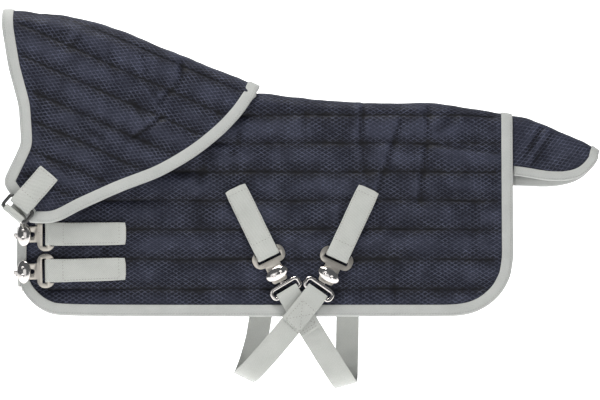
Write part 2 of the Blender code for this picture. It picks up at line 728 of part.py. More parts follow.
SLOT_HALF = WEB_WIDTH / 2 + SLOT_SIDE_GAP
BAR_MIDDLE = -(SLOT_HEIGHT + UPPER_BAR) / 2
PLATE_W = CLOTH_GAP + WEB_THICK + BAR_GAP + PLATE_THICK / 2  # middle of a plate above the cloth
TONGUE_W = -(PLATE_THICK + TONGUE_THICK) / 2 - TONGUE_GAP
DOME_BACK = PLATE_THICK / 2 + DOME_GAP
LOWER_BAR_MIDDLE = KEY_BOTTOM + LOWER_BAR / 2


def add_clip(name, tab_frame, tilt, stem, ring_turn, meshes, length, finishes):
    """A tab, its keeper and its hook. Returns the hook's frame."""
    bar = (BAR_MIDDLE, PLATE_W)
    tab = folded_webbing(tab_frame, bar, UPPER_BAR / 2, length, 0.0)
    add_object(f"{name[0]}_tab_{name[1]}", tab, finishes["webbing"])
    keeper_frame = turned(tab_frame, *bar, tilt) @ Matrix.Translation((0, 0, PLATE_W))
    hinge = keeper_frame @ Matrix.Translation((0, BAR_MIDDLE, 0))
    keeper_pivot = add_pivot(f"{name[0]}_keeper_pivot_{name[1]}", hinge)
    keeper = add_object(f"{name[0]}_keeper_{name[1]}", meshes[0].copy(), finishes["nickel"])
    keeper.matrix_world = keeper_frame
    keep_place(keeper, keeper_pivot)
    hook_hinge = keeper_frame @ Matrix.Translation((0, LOWER_BAR_MIDDLE, 0))
    hook_pivot = add_pivot(f"{name[0]}_hook_pivot_{name[1]}", hook_hinge, keeper_pivot)
    turn = Matrix.Rotation(math.radians(ring_turn), 4, "Z")
    hook_frame = keeper_frame @ Matrix.Translation((0, stem, 0)) @ turn
    hook = add_object(f"{name[0]}_hook_{name[1]}", meshes[1].copy(), finishes["chrome"])
    hook.matrix_world = hook_frame
    keep_place(hook, hook_pivot)
    return hook_frame


def keep_place(obj, parent):
    bpy.context.view_layer.update()
    place = obj.matrix_world.copy()
    obj.parent = parent
    obj.matrix_parent_inverse = parent.matrix_world.inverted()
    obj.matrix_world = place


def add_chest(finishes, meshes):
    for name, height, slope in zip(("upper", "lower"), CHEST_HEIGHTS, CHEST_SLOPES):
        slot = (CHEST_X + CHEST_INSET, HEM_Z + height)
        lean = slope - 90
        frame = frame_on(BODY, ahead_of(slot, CHEST_TAB_LENGTH, lean), ahead_of(slot, CHEST_INSET / 2, lean))
        frame = frame @ Matrix.Translation((0, CHEST_INSET / 2, 0))
        hook = add_clip(("chest", name), frame, CHEST_TILT, CHEST_STEM, 0, meshes, CHEST_TAB_LENGTH, finishes)
        add_object(f"chest_strap_{name}", chest_strap(hook), finishes["webbing"])


def chest_strap(hook):
    """Looped round the turned ring of the hook, then round the far chest edge and sewn there."""
    corners, inwards = bent_tongue()
    centre = hook @ Vector((0, *(corners[-1] + inwards * (RING_HEIGHT - RING_BAR))))
    across = hook.to_3x3() @ Vector((1, 0, 0))
    z = centre.z
    radius = RING_THICK / 2 + BAR_GAP + WEB_THICK / 2
    turn_y = centre.y - CHEST_SLACK
    stations = [(Vector((centre.x + radius, centre.y + y * MM, z)), across) for y in (4.4, 1)]
    stations += [(Vector((centre.x + v, turn_y + w, z)), across) for v, w in arc((0, 0), radius, 0, -180, 9)]
    stations.append((Vector((centre.x - radius, centre.y + 1 * MM, z)), across))
    far_edge = BODY.on_face(CHEST_X, z, FAR)
    lift = CLOTH_GAP + BINDING_GAP + BINDING_THICK + WEB_THICK / 2
    front = CHEST_X - BINDING_GAP - BINDING_THICK - BAR_GAP - WEB_THICK / 2
    for back in (QUILT + 2.4 * MM, QUILT, 0):
        stations.append((Vector((front, far_edge.y - back, z)), Vector((0, 0, 1))))
    slope = BODY.on_face(CHEST_X, z + MM, FAR) - BODY.on_face(CHEST_X, z, FAR)
    far_across = Vector((0, slope.y, slope.z)).normalized()
    for inset in (-0.6, 2, 8, 14, 20):
        face = BODY.on_face(CHEST_X + max(inset, 0) * MM, z, FAR)
        stations.append((Vector((CHEST_X + inset * MM, face.y + lift, z)), far_across))
    face = BODY.on_face(CHEST_X + CHEST_STRAP_END, z, FAR)
    stations.append((Vector((face.x, face.y + CLOTH_GAP + WEB_THICK / 2, z)), far_across))
    return ribbon(stations)


SURCINGLE_LOW = (
    ((-24, -25, 0.98), (-43, -46.5, 0.84), (-51, -54, 0.55), (-52, -55.7, 0.0), (-51, -54, -0.55),
     (-47, -43.5, -0.86), (-41, -22, -1.0)),
    ((15, -26, 0.98), (30, -50, 0.84), (37, -60.5, 0.55), (38.1, -62.4, 0.0), (38.5, -60.8, -0.55),
     (39, -50, -0.86), (39.5, -26, -1.0)),
)
SURCINGLE_FAR = ((-37.3, 23.6, 0.3), (40, -3.2, 0.04))
BOTTOM_TURNS = (-25.9, 15.7)


def add_surcingles(finishes, meshes):
    for i, name in enumerate(("front", "rear")):
        offset, height = SURCINGLE_SLOTS[i]
        slot = (SURCINGLE_X + offset, HEM_Z + height)
        frame = frame_on(BODY, ahead_of(slot, SURCINGLE_TAB_LENGTH, SURCINGLE_LEANS[i]), slot)
        frame = frame @ Matrix.Translation((0, 0, SURCINGLE_LIFT))
        ring_turn = RING_LEANS[i] - SURCINGLE_LEANS[i]
        hook = add_clip(("surcingle", name), frame, SURCINGLE_TILTS[i], SURCINGLE_STEM, ring_turn, meshes,
                        SURCINGLE_TAB_LENGTH, finishes)
        add_object(f"surcingle_strap_{name}", surcingle_strap(i, hook), finishes["webbing"])


def across_at(x, z, side, turn):
    """The direction across a strap that lies on the body, turned in the side view by degrees."""
    step = 2 * MM
    along_x = (BODY.on_face(x + step, z, side) - BODY.on_face(x - step, z, side)).normalized()
    along_z = (BODY.on_face(x, z + step, side) - BODY.on_face(x, z - step, side)).normalized()
    angle = math.radians(turn)
    return along_x * math.cos(angle) + along_z * math.sin(angle)


def surcingle_strap(i, hook):
    """Folded round the hook's ring, crossed under the belly and sewn to the far side."""
    which = 1 - i  # the front clip carries the strap that ends further back
    bar = Vector((0, RING_REACH + RING_HEIGHT / 2 - RING_BAR / 2, 0))
    across = hook.to_3x3() @ Vector((1, 0, 0))
    if across.x < 0:
        across = -across
    radius = RING_THICK / 2 + BAR_GAP + WEB_THICK / 2
    turn = arc((1.2 * MM, 0), radius, 90, -90, 9)
    half_turn = [(hook @ (bar + Vector((0, -v, w))), across) for v, w in turn]
    near_turn = (31.4, -41.8)[i]
    start = hook @ (bar + Vector((0, 1.5 * MM, -radius)))
    lows = SURCINGLE_LOW[which]
    heading = Vector((SURCINGLE_X + lows[0][0] * MM - start.x, 0, HEM_Z + lows[0][1] * MM - start.z))
    knots = [(start, across)]
    for share in (0.17, 0.5):
        x, z = start.x + heading.x * share, start.z + heading.z * share
        face = BODY.on_face(x, z, NEAR)
        knots.append((Vector((x, face.y - SURCINGLE_HEIGHTS[i], z)), across_at(x, z, NEAR, near_turn)))
    half = BODY.on_face(SURCINGLE_X, HEM_Z, FAR).y + SURCINGLE_HEIGHTS[0]
    far_x, far_turn, far_lean = SURCINGLE_FAR[which]
    turns = (near_turn, near_turn, BOTTOM_TURNS[which], BOTTOM_TURNS[which], BOTTOM_TURNS[which], -far_turn, -far_turn)
    for (dx, dz, share), turn in zip(lows, turns):
        angle = math.radians(turn)
        y = -share * half - (SURCINGLE_HEIGHTS[i] - SURCINGLE_HEIGHTS[0] if share > 0.9 else 0)
        knots.append((Vector((SURCINGLE_X + dx * MM, y, HEM_Z + dz * MM)),
                      Vector((math.cos(angle), 0, math.sin(angle)))))
    for rise in (0, 12 * MM, 22 * MM, SURCINGLE_END):
        x, z = SURCINGLE_X + far_x * MM + far_lean * rise, HEM_Z + rise
        lift = SURCINGLE_HEIGHTS[0] if rise < 14 * MM else CLOTH_GAP + WEB_THICK / 2
        knots.append((BODY.on_face(x, z, FAR) + Vector((0, lift, 0)), across_at(x, z, FAR, -far_turn)))
    run = smooth_stations(knots, 4)
    fold, length = [], 0.0
    for k, (centre, turn) in enumerate(run):
        if k:
            length += (centre - run[k - 1][0]).length
        if length > SURCINGLE_FOLD:
            break
        along = (run[k + 1][0] - centre).normalized()
        out = turn.cross(along).normalized()
        if out.y > 0:
            out = -out
        fade = max(1 - length / (7 * MM), 0.0)
        gap = WEB_THICK + WEB_GAP + (2 * radius - WEB_THICK - WEB_GAP) * fade
        fold.append((centre + out * gap, turn))
    return ribbon(list(reversed(fold)) + half_turn + run)


def smooth_stations(knots, steps):
    """Stations along a smooth curve through the knots, each with its direction across."""
    made = []
    for k in range(len(knots) - 1):
        p0, p1 = knots[max(k - 1, 0)][0], knots[k][0]
        p2, p3 = knots[k + 1][0], knots[min(k + 2, len(knots) - 1)][0]
        for i in range(steps):
            t = i / steps
            centre = 0.5 * (2 * p1 + (p2 - p0) * t + (2 * p0 - 5 * p1 + 4 * p2 - p3) * t**2
                            + (3 * p1 - p0 - 3 * p2 + p3) * t**3)
            made.append((centre, knots[k][1].lerp(knots[k + 1][1], t)))
    made.append(knots[-1])
    return made


def add_throat(finishes, neck):
    """A webbing tab on the near side of the neck, folded through a black ring."""
    bar_point = (NECK_END_X - THROAT_AHEAD, NECK_BASE_Z - THROAT_DROP)
    frame = frame_on(NECK, ahead_of(bar_point, THROAT_TAB_LENGTH, THROAT_LEAN), bar_point)
    wire = THROAT_WIRE / 2
    base = BINDING_GAP + BINDING_THICK
    bar = (0.0, base + CLOTH_GAP + WEB_THICK + BAR_GAP + wire)
    tab = folded_webbing(frame, bar, wire, THROAT_TAB_LENGTH, base, 2 * MM)
    add_object("throat_tab", tab, finishes["webbing"], neck)
    hinge = add_pivot("throat_ring_pivot", frame @ Matrix.Translation((0, *bar)), neck)
    half, tall = THROAT_RING_LENGTH / 2 - wire, THROAT_RING_HEIGHT - 2 * wire
    corners = [(-half, 0), (half, 0), (half, tall), (-half, tall)]
    curve = bpy.data.curves.new("ring", "CURVE")
    curve.dimensions = "3D"
    curve.bevel_depth = wire
    curve.bevel_resolution = 2
    spline = curve.splines.new("POLY")
    outline = rounded_outline(corners, 2.4 * MM, 3)
    spline.points.add(len(outline) - 1)
    for point, (x, y) in zip(spline.points, outline):
        point.co = (x, y, 0, 1)
    spline.use_cyclic_u = True
    ring = add_object("throat_ring", evaluated(curve), finishes["black"])
    ring.matrix_world = hinge.matrix_world
    keep_place(ring, hinge)
    strap = throat_strap(hinge.matrix_world @ Matrix.Translation((0, tall, 0)), base)
    add_object("throat_strap", strap, finishes["webbing"], neck)


def throat_strap(ring_frame, base):
    """Looped round the ring, crossed under the throat and sewn up the far side of the neck."""
    bar = ring_frame.translation
    angle = math.radians(THROAT_LEAN)
    down = Vector((math.sin(angle), 0, -math.cos(angle)))
    across = Vector((math.cos(angle), 0, math.sin(angle)))
    at_ring = ring_frame.col[0].xyz * math.copysign(1, ring_frame.col[0].x)
    radius = THROAT_WIRE / 2 + 1.5 * BAR_GAP + WEB_THICK / 2
    far = NECK.on_face(bar.x, bar.z, FAR).y + base + CLOTH_GAP + 2.4 * WEB_THICK

    def at(v, y):
        """Between the sides the strap bows forwards, clear of the chest clip."""
        bow = THROAT_BOW * min(max(1 - (abs(y) - 12 * MM) / (20 * MM), 0), 1)
        centre = Vector((bar.x, y, bar.z)) + down * v - across * bow
        return (centre, at_ring if y < bar.y / 2 else across)

    run = [at(radius * 0.7, bar.y + 16 * MM), at(-radius + 0.4 * MM, bar.y + 5 * MM)]
    run += [at(v - 0.4 * MM, bar.y + w) for v, w in arc((0, 0), radius, 180, 360, 9)]
    low = radius - 0.4 * MM
    run += [at(low, bar.y + 6 * MM), at(low, -25 * MM), at(low, -18 * MM), at(low, -12 * MM)]
    run += [at(low, 0), at(low, 12 * MM), at(low, 18 * MM), at(low, 25 * MM), at(low - 0.4 * MM, far - 3 * MM), at(-1 * MM, far), at(-6 * MM, far)]
    for rise in (14 * MM, 30 * MM, THROAT_STRAP_END):
        point = Vector((bar.x, 0, bar.z)) - down * rise
        lift = CLOTH_GAP + WEB_THICK / 2
        run.append((NECK.on_face(point.x, point.z, FAR) + Vector((0, lift, 0)), across))
    return ribbon(run)


def main():
    clear_scene()
    finishes = {
        "outer": finish("navy_cloth", (0.026, 0.028, 0.055), 0.8),
        "filling": finish("wadding", (0.75, 0.75, 0.72), 1.0),
        "lining": finish("grey_lining", (0.55, 0.55, 0.56), 0.85),
        "binding": finish("grey_tape", (0.55, 0.55, 0.54), 0.8),
        "webbing": finish("grey_webbing", (0.57, 0.57, 0.56), 0.75),
        "nickel": finish("nickel", (0.72, 0.69, 0.62), 0.3, 1.0),
        "chrome": finish("chrome", (0.8, 0.78, 0.75), 0.12, 1.0),
        "black": finish("black_ring", (0.03, 0.03, 0.029), 0.4),
    }
    add_body(finishes)
    neck = add_pivot("neck_pivot", Vector((NECK_END_X, 0, NECK_LINE(NECK_END_X))))
    add_neck(finishes, neck)
    tail = add_pivot("tail_pivot", Vector((TAIL_X, 0, TAIL_LINE(TAIL_X))))
    add_tail(finishes, tail)
    keeper, hook, bent_hook = keeper_mesh(), hook_mesh(False), hook_mesh(True)
    add_chest(finishes, (keeper, bent_hook))
    add_surcingles(finishes, (keeper, hook))
    add_throat(finishes, neck)


main()
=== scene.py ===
"""Builds the finished look of a toy pony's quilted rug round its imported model.

Cloth panels, edge tapes, webbing, clips and the studio are each an operator in the Rug tab of the
3D view's sidebar. The script runs them all in order.
"""

import json
import math

import bmesh
import bpy
from mathutils import Matrix, Vector, kdtree, noise
from mathutils.bvhtree import BVHTree


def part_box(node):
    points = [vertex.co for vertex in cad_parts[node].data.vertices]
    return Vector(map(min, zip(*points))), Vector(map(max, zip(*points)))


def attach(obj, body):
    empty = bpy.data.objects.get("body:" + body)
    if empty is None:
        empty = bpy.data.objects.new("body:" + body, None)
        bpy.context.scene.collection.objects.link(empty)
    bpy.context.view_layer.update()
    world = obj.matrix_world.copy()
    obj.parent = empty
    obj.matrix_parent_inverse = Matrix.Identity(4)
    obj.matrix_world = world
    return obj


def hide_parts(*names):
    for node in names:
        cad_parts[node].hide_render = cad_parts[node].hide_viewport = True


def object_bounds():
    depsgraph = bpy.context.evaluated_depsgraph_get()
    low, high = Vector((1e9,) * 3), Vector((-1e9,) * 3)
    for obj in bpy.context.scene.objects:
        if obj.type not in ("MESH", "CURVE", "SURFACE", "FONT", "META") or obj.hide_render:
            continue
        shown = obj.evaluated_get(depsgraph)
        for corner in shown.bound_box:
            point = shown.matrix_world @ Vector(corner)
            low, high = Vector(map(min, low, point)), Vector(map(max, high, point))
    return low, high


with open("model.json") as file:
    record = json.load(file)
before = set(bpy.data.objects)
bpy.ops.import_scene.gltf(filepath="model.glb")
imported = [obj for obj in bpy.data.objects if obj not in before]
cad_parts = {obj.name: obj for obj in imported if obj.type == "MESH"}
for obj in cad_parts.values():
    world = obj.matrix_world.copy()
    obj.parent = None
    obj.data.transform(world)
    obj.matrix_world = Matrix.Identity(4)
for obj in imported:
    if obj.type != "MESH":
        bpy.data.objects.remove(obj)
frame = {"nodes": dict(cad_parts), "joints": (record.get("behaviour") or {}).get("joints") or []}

bl_info = {
    "name": "Toy pony rug",
    "version": (1, 0, 0),
    "blender": (4, 5, 0),
    "location": "View3D > Sidebar > Rug",
    "description": "Quilted rug with neck cover, tail flap, clips and crossed surcingles",
    "category": "Object",
}

MM = 0.001
NODES = frame["nodes"]
JOINTS = {joint["name"]: joint for joint in frame["joints"]}
CAD_BOX = [list(corner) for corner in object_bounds()]
SIDES = ("near", "far")
UP = Vector((0, 0, 1))

# The ripstop's diamonds, and the webbing's loops and rows of stitches, in mm
DIAMOND_LENGTH, DIAMOND_HEIGHT = 6.0, 3.6
LOOP_ROW = 16.5
TAB_LENGTHS = {"chest": 68, "surcingle": 66}
TAB_END_ROWS = {"chest": 66, "surcingle": 64.5}

# Each clip, and the degrees that its hook turns in its keeper
CLIPS = (("chest", "upper", 0), ("chest", "lower", 0), ("surcingle", "front", 5), ("surcingle", "rear", -10))

# A chest hook's tongue, in mm: out to the bend, in round the edge, and back to the ring
BEND_ANGLE = math.radians(82)
BEND_OUT, BEND_IN, BEND_BACK = 9.2, 17, 4.6

# Sewn channels, as distances in mm along the direction across them
BODY_SEAMS = (28, -7, -31.5, -57, -82, -107.5, -134, -160, -187)
NECK_SEAMS = (-12, -36, -61.5, -86, -111.5, -134.5, -158, -182)
NECK_SEAM_TURN = math.radians(24)

# Creases as (start, end, depth, width) in mm, on the cloth laid flat
BODY_CREASES = (
    ((-12, 9), (-14, -28), 1.3, 2.2), ((-14, -28), (-10, -62), 0.9, 2.4),
    ((22, -10), (10, -44), 1.5, 2.2), ((10, -44), (1, -74), 1.4, 2.0),
    ((46, 4), (44, -34), 1.1, 3.0), ((44, -34), (37, -84), 1.3, 2.4),
    ((46, -33), (116, -41), 0.9, 1.8), ((-122, -22), (-127, -42), 1.2, 2.2),
    ((-150, -40), (-157, -62), 1.1, 2.0), ((-155.6, -62), (-155.6, -183), 1.0, 1.8),
    ((15, -130), (14, -181), 0.7, 2.4), ((-240, -120), (-238, -183), 0.6, 2.6),
    ((70, -8), (52, -22), 0.8, 4.0), ((-60, 2), (-66, -24), 0.5, 3.2),
    ((88, -86), (84, -132), 0.4, 4.0), ((-30, -84), (-34, -106), 0.5, 3.0),
)
NECK_CREASES = (
    ((-171, 42), (-173, 24), 1.2, 2.4), ((-173, 24), (-192, 3), 1.2, 2.2),
    ((-188, -8), (-215, -27), 1.7, 1.8), ((-218, 8), (-204, -14), 0.8, 1.8),
    ((-204, 22), (-188, -2), 0.7, 1.8), ((-262, 62), (-274, 50), 1.0, 3.0),
    ((-236, 50), (-232, 26), 0.6, 3.0), ((-262, -16), (-240, -28), 0.8, 3.0),
    ((-292, -44), (-268, -62), 0.7, 2.6), ((-208, 46), (-204, 30), 0.6, 2.4),
    ((-300, 20), (-292, -30), 0.5, 4.0),
)
TAIL_CREASES = (
    ((146, -18), (128, -46), 1.7, 2.4), ((153, -24), (136, -52), 1.3, 2.2),
    ((128, -20), (124, -40), 0.9, 3.0), ((178, -40), (150, -58), 0.6, 4.0),
)


def length(name, description, default):
    return bpy.props.FloatProperty(name=name, description=description, default=default, unit="LENGTH")


def colour(name, description, default):
    return bpy.props.FloatVectorProperty(
        name=name, description=description, default=default, size=3, subtype="COLOR")


class ClothSettings(bpy.types.PropertyGroup):
    body_radius: length("Back radius", "Outer radius of the body's spine fold", 11 * MM)
    neck_radius: length("Crest radius", "Outer radius of the neck's fold", 17 * MM)
    tail_radius: length("Dock radius", "Outer radius of the tail flap's fold", 9 * MM)
    thickness: length("Quilt thickness", "Outer cloth, filling and lining together", 4 * MM)
    channel_depth: length("Channel depth", "How far the quilting seams sink", 2.8 * MM)
    outer_colour: colour("Outer cloth", "Navy of the outer cloth", (0.0028, 0.0034, 0.0085))
    thread_colour: colour("Ripstop thread", "Paler thread of the diamond ripstop", (0.078, 0.086, 0.132))
    lining_colour: colour("Lining", "Silver grey lining", (0.52, 0.52, 0.53))


class WebbingSettings(bpy.types.PropertyGroup):
    tape_width: length("Tape width", "How far the edge tape reaches onto the cloth", 9 * MM)
    tape_colour: colour("Tape", "Grey of the edge tape", (0.43, 0.44, 0.425))
    webbing_colour: colour("Webbing", "Grey of the tabs and straps", (0.45, 0.46, 0.435))
    stitch_colour: colour("Sewing thread", "Thread of the stitched boxes and rows", (0.2, 0.19, 0.17))
    stitch_length: length("Stitch length", "Length of one stitch", 1.7 * MM)


class MetalSettings(bpy.types.PropertyGroup):
    plate_thickness: length("Keeper thickness", "Thickness of a keeper plate", 1.6 * MM)
    surcingle_stem: length("Surcingle stem", "Keeper's slot to a surcingle hook's stem", 15.2 * MM)
    chest_stem: length("Chest stem", "Keeper's slot to a chest hook's stem", 18 * MM)
    nickel_colour: colour("Keepers", "Warm nickel of the keepers", (0.6, 0.56, 0.5))
    chrome_colour: colour("Hooks", "Chrome of the hooks", (0.62, 0.59, 0.57))


class StageSettings(bpy.types.PropertyGroup):
    lens: bpy.props.FloatProperty(
        name="Lens", description="Focal length of the camera in millimetres", default=273.0)
    distance: length("Camera distance", "Camera to the rug", 4.0)
    floor_drop: length("Floor drop", "Floor below the lowest strap", 60 * MM)


# Working with meshes


def deselect():
    bpy.ops.object.select_all(action="DESELECT")


def axes_matrix(u, v, w, origin):
    return Matrix([(u[i], v[i], w[i], origin[i]) for i in range(3)] + [(0, 0, 0, 1)])


def cad_mesh(name):
    """The merged mesh of a CAD node, as a bmesh."""
    bm = bmesh.new()
    bm.from_mesh(NODES[name].data)
    bmesh.ops.remove_doubles(bm, verts=bm.verts, dist=0.01 * MM)
    return bm


def joined_quads(bm, limit=60):
    bmesh.ops.join_triangles(
        bm, faces=bm.faces[:], angle_face_threshold=math.radians(limit),
        angle_shape_threshold=math.radians(80))


def new_object(name, bm, material):
    mesh = bpy.data.meshes.new(name)
    bm.to_mesh(mesh)
    bm.free()
    obj = bpy.data.objects.new(name, mesh)
    bpy.context.scene.collection.objects.link(obj)
    mesh.materials.append(material)
    mesh.shade_smooth()
    return obj


def apply_modifier(obj, kind, **settings):
    modifier = obj.modifiers.new("shape", kind)
    for key, value in settings.items():
        setattr(modifier, key, value)
    deselect()
    bpy.context.view_layer.objects.active = obj
    obj.select_set(True)
    bpy.ops.object.modifier_apply(modifier=modifier.name)


def smoothed(bm, levels):
    """The mesh after that many levels of subdivision."""
    holder = new_object("holder", bm, bpy.data.materials.new("holder"))
    apply_modifier(holder, "SUBSURF", levels=levels, render_levels=levels, boundary_smooth="PRESERVE_CORNERS")
    made = bmesh.new()
    made.from_mesh(holder.data)
    bpy.data.materials.remove(holder.data.materials[0])
    bpy.data.objects.remove(holder)
    return made


# Materials


def principled(name, colour, roughness, metallic=0.0, **sockets):
    material = bpy.data.materials.new(name)
    material.use_nodes = True
    material.diffuse_color = (*colour, 1)
    shader = material.node_tree.nodes["Principled BSDF"]
    shader.inputs["Base Color"].default_value = (*colour, 1)
    shader.inputs["Roughness"].default_value = roughness
    shader.inputs["Metallic"].default_value = metallic
    for socket, value in sockets.items():
        shader.inputs[socket.replace("_", " ")].default_value = value
    return material, Nodes(material.node_tree, shader)


class Nodes:
    """Short ways to add and join a material's nodes."""

    def __init__(self, tree, shader):
        self.tree = tree
        self.shader = shader

    def add(self, kind, **values):
        node = self.tree.nodes.new(kind)
        for key, value in values.items():
            setattr(node, key, value)
        return node

    def join(self, source, target):
        self.tree.links.new(source, target)

    def maths(self, operation, first, second=0.0, third=0.0):
        node = self.add("ShaderNodeMath", operation=operation)
        for socket, value in zip(node.inputs, (first, second, third)):
            if isinstance(value, (int, float)):
                socket.default_value = value
            else:
                self.join(value, socket)
        return node.outputs[0]

    def position(self, uv=True):
        """The cloth's own coordinates, or the object's, in millimetres."""
        source = self.add("ShaderNodeTexCoord").outputs["UV" if uv else "Object"]
        scale = self.add("ShaderNodeVectorMath", operation="SCALE")
        scale.inputs["Scale"].default_value = 1000.0
        self.join(source, scale.inputs[0])
        return scale.outputs[0]

    def parts(self, vector):
        split = self.add("ShaderNodeSeparateXYZ")
        self.join(vector, split.inputs[0])
        return split.outputs

    def cloud(self, vector, scale, detail=3.0, rough=0.55):
        node = self.add("ShaderNodeTexNoise")
        node.inputs["Scale"].default_value = scale
        node.inputs["Detail"].default_value = detail
        node.inputs["Roughness"].default_value = rough
        self.join(vector, node.inputs["Vector"])
        return node.outputs["Fac"]

    def blend(self, share, first, second):
        node = self.add("ShaderNodeMix", data_type="RGBA")
        self.join(share, node.inputs["Factor"])
        colours = [socket for socket in node.inputs if socket.type == "RGBA"]
        for socket, value in zip(colours, (first, second)):
            if isinstance(value, (tuple, list)):
                socket.default_value = (*value, 1)
            else:
                self.join(value, socket)
        return [socket for socket in node.outputs if socket.type == "RGBA"][0]

    def ramp(self, value, low, high, start=0.0, end=1.0):
        node = self.add("ShaderNodeMapRange", interpolation_type="SMOOTHSTEP")
        self.join(value, node.inputs["Value"])
        for socket, number in zip(list(node.inputs)[1:5], (low, high, start, end)):
            socket.default_value = number
        return node.outputs[0]

    def colour(self, source):
        self.join(source, self.shader.inputs["Base Color"])

    def rough(self, source):
        self.join(source, self.shader.inputs["Roughness"])

    def bump(self, height, distance, strength=1.0, under=None):
        node = self.add("ShaderNodeBump")
        node.inputs["Strength"].default_value = strength
        node.inputs["Distance"].default_value = distance
        self.join(height, node.inputs["Height"])
        if under is not None:
            self.join(under, node.inputs["Normal"])
        self.join(node.outputs[0], self.shader.inputs["Normal"])
        return node.outputs[0]


def ripstop(name, settings, turn=0.0):
    """Navy ripstop: a fine weave crossed by paler threads that make long diamonds, with painted shade in
    seams and creases and a painted highlight on crowns.
    """
    outer, thread = tuple(settings.outer_colour), tuple(settings.thread_colour)
    material, nodes = principled(name, outer, 0.58, Specular_IOR_Level=0.2, Sheen_Weight=0.02,
                                 Sheen_Roughness=0.45)
    place = nodes.position()
    wobble = nodes.cloud(place, 0.11, 2.0)
    u, v, _ = nodes.parts(place)
    cos, sin = math.cos(turn), math.sin(turn)
    along = nodes.maths("SUBTRACT", nodes.maths("MULTIPLY", u, cos), nodes.maths("MULTIPLY", v, sin))
    across = nodes.maths("ADD", nodes.maths("MULTIPLY", u, sin), nodes.maths("MULTIPLY", v, cos))
    along = nodes.maths("MULTIPLY_ADD", wobble, 1.6, along)
    across = nodes.maths("MULTIPLY_ADD", wobble, 1.1, across)
    lines = []
    for sign in (1, -1):
        phase = nodes.maths("ADD", nodes.maths("DIVIDE", along, DIAMOND_LENGTH),
                            nodes.maths("DIVIDE", across, DIAMOND_HEIGHT * sign))
        wave = nodes.maths("ABSOLUTE", nodes.maths("SINE", nodes.maths("MULTIPLY", phase, math.pi)))
        lines.append(nodes.ramp(wave, 0.05, 0.5, 1.0, 0.0))
    grid = nodes.maths("MAXIMUM", lines[0], lines[1])
    patchy = nodes.ramp(nodes.cloud(place, 0.06, 4.0, 0.6), 0.32, 0.68, 0.35, 1.0)
    speckle = nodes.ramp(nodes.cloud(place, 0.5, 2.0, 0.7), 0.35, 0.65, 0.3, 1.0)
    share = nodes.maths("MULTIPLY", nodes.maths("MULTIPLY", grid, patchy), speckle)
    base = nodes.blend(nodes.ramp(nodes.cloud(place, 0.02, 3.0), 0.3, 0.7), tuple(c * 0.78 for c in outer),
                       tuple(c * 1.28 for c in outer))
    hollow = nodes.add("ShaderNodeAttribute", attribute_name="hollow").outputs["Fac"]
    # Painted shade: the deeper the quilting seam or crease (hollow), the nearer the colour goes to a near
    # black navy
    shade = nodes.ramp(hollow, 0.9, 2.7, 0.0, 0.85)
    # Painted highlight: where a channel crown stands high (little hollow) the colour is lifted towards a
    # bright thread tone
    lit = nodes.ramp(hollow, -0.35, 0.9, 0.14, 0.0)
    cloth = nodes.blend(lit, nodes.blend(share, base, thread), tuple(c * 1.7 for c in thread))
    nodes.colour(nodes.blend(shade, cloth, tuple(c * 0.12 for c in outer)))
    weave = nodes.maths("MULTIPLY", nodes.maths("SINE", nodes.maths("MULTIPLY", along, 11.0)),
                        nodes.maths("SINE", nodes.maths("MULTIPLY", across, 11.0)))
    height = nodes.maths("MULTIPLY_ADD", grid, 0.8, nodes.maths("MULTIPLY", weave, 0.2))
    crumple = nodes.bump(nodes.cloud(place, 0.16, 5.0, 0.62), 1.5 * MM, 0.55)
    nodes.bump(height, 0.12 * MM, 0.6, crumple)
    nodes.rough(nodes.ramp(patchy, 0.0, 1.0, 0.74, 0.54))
    return material


def satin_lining(name, settings):
    """Silver grey lining with a fine twill, stitched through with the quilting."""
    base = tuple(settings.lining_colour)
    material, nodes = principled(name, base, 0.5, Sheen_Weight=0.2)
    place = nodes.position()
    u, v, _ = nodes.parts(place)
    twill = nodes.maths("SINE", nodes.maths("MULTIPLY", nodes.maths("ADD", u, v), 9.0))
    shade = nodes.cloud(place, 0.03, 4.0)
    nodes.colour(nodes.blend(nodes.ramp(shade, 0.3, 0.7), tuple(c * 0.86 for c in base), base))
    soft = nodes.bump(nodes.cloud(place, 0.12, 4.0), 1.4 * MM, 0.5)
    nodes.bump(twill, 0.05 * MM, 0.4, soft)
    return material


def woven(name, base, ribs, grain, roughness=0.6, edge=None):
    """Webbing or tape: ribs along it, picks across it, and a stitched line near the edge."""
    material, nodes = principled(name, base, roughness, Sheen_Weight=0.25, Sheen_Roughness=0.4)
    place = nodes.position()
    u, v, _ = nodes.parts(place)
    wales = nodes.maths("SINE", nodes.maths("MULTIPLY", v, ribs))
    picks = nodes.maths("SINE", nodes.maths("MULTIPLY_ADD", u, grain, nodes.maths("MULTIPLY", v, 1.3)))
    weave = nodes.maths("MULTIPLY", wales, picks)
    fibre = nodes.cloud(place, 1.1, 3.0, 0.7)
    large = nodes.cloud(place, 0.05, 3.0)
    tone = nodes.maths("MULTIPLY_ADD", weave, 0.3, nodes.maths("MULTIPLY_ADD", fibre, 0.55, 0.22))
    tone = nodes.maths("MULTIPLY_ADD", large, 0.35, nodes.maths("SUBTRACT", tone, 0.15))
    colour = nodes.blend(nodes.ramp(tone, 0.1, 0.9), tuple(c * 0.68 for c in base),
                         tuple(min(c * 1.15, 1) for c in base))
    height = nodes.maths("MULTIPLY_ADD", fibre, 0.4, weave)
    if edge:
        near = nodes.ramp(nodes.maths("ABSOLUTE", nodes.maths("SUBTRACT", v, edge)), 0.15, 0.45, 1.0, 0.0)
        dash = nodes.ramp(nodes.maths("SINE", nodes.maths("MULTIPLY", u, 2.6)), -0.3, 0.3)
        row = nodes.maths("MULTIPLY", near, dash)
        colour = nodes.blend(nodes.maths("MULTIPLY", row, 0.45), colour, tuple(c * 0.5 for c in base))
        height = nodes.maths("SUBTRACT", height, nodes.maths("MULTIPLY", near, 2.2))
    nodes.colour(colour)
    nodes.bump(height, 0.16 * MM, 0.8)
    return material


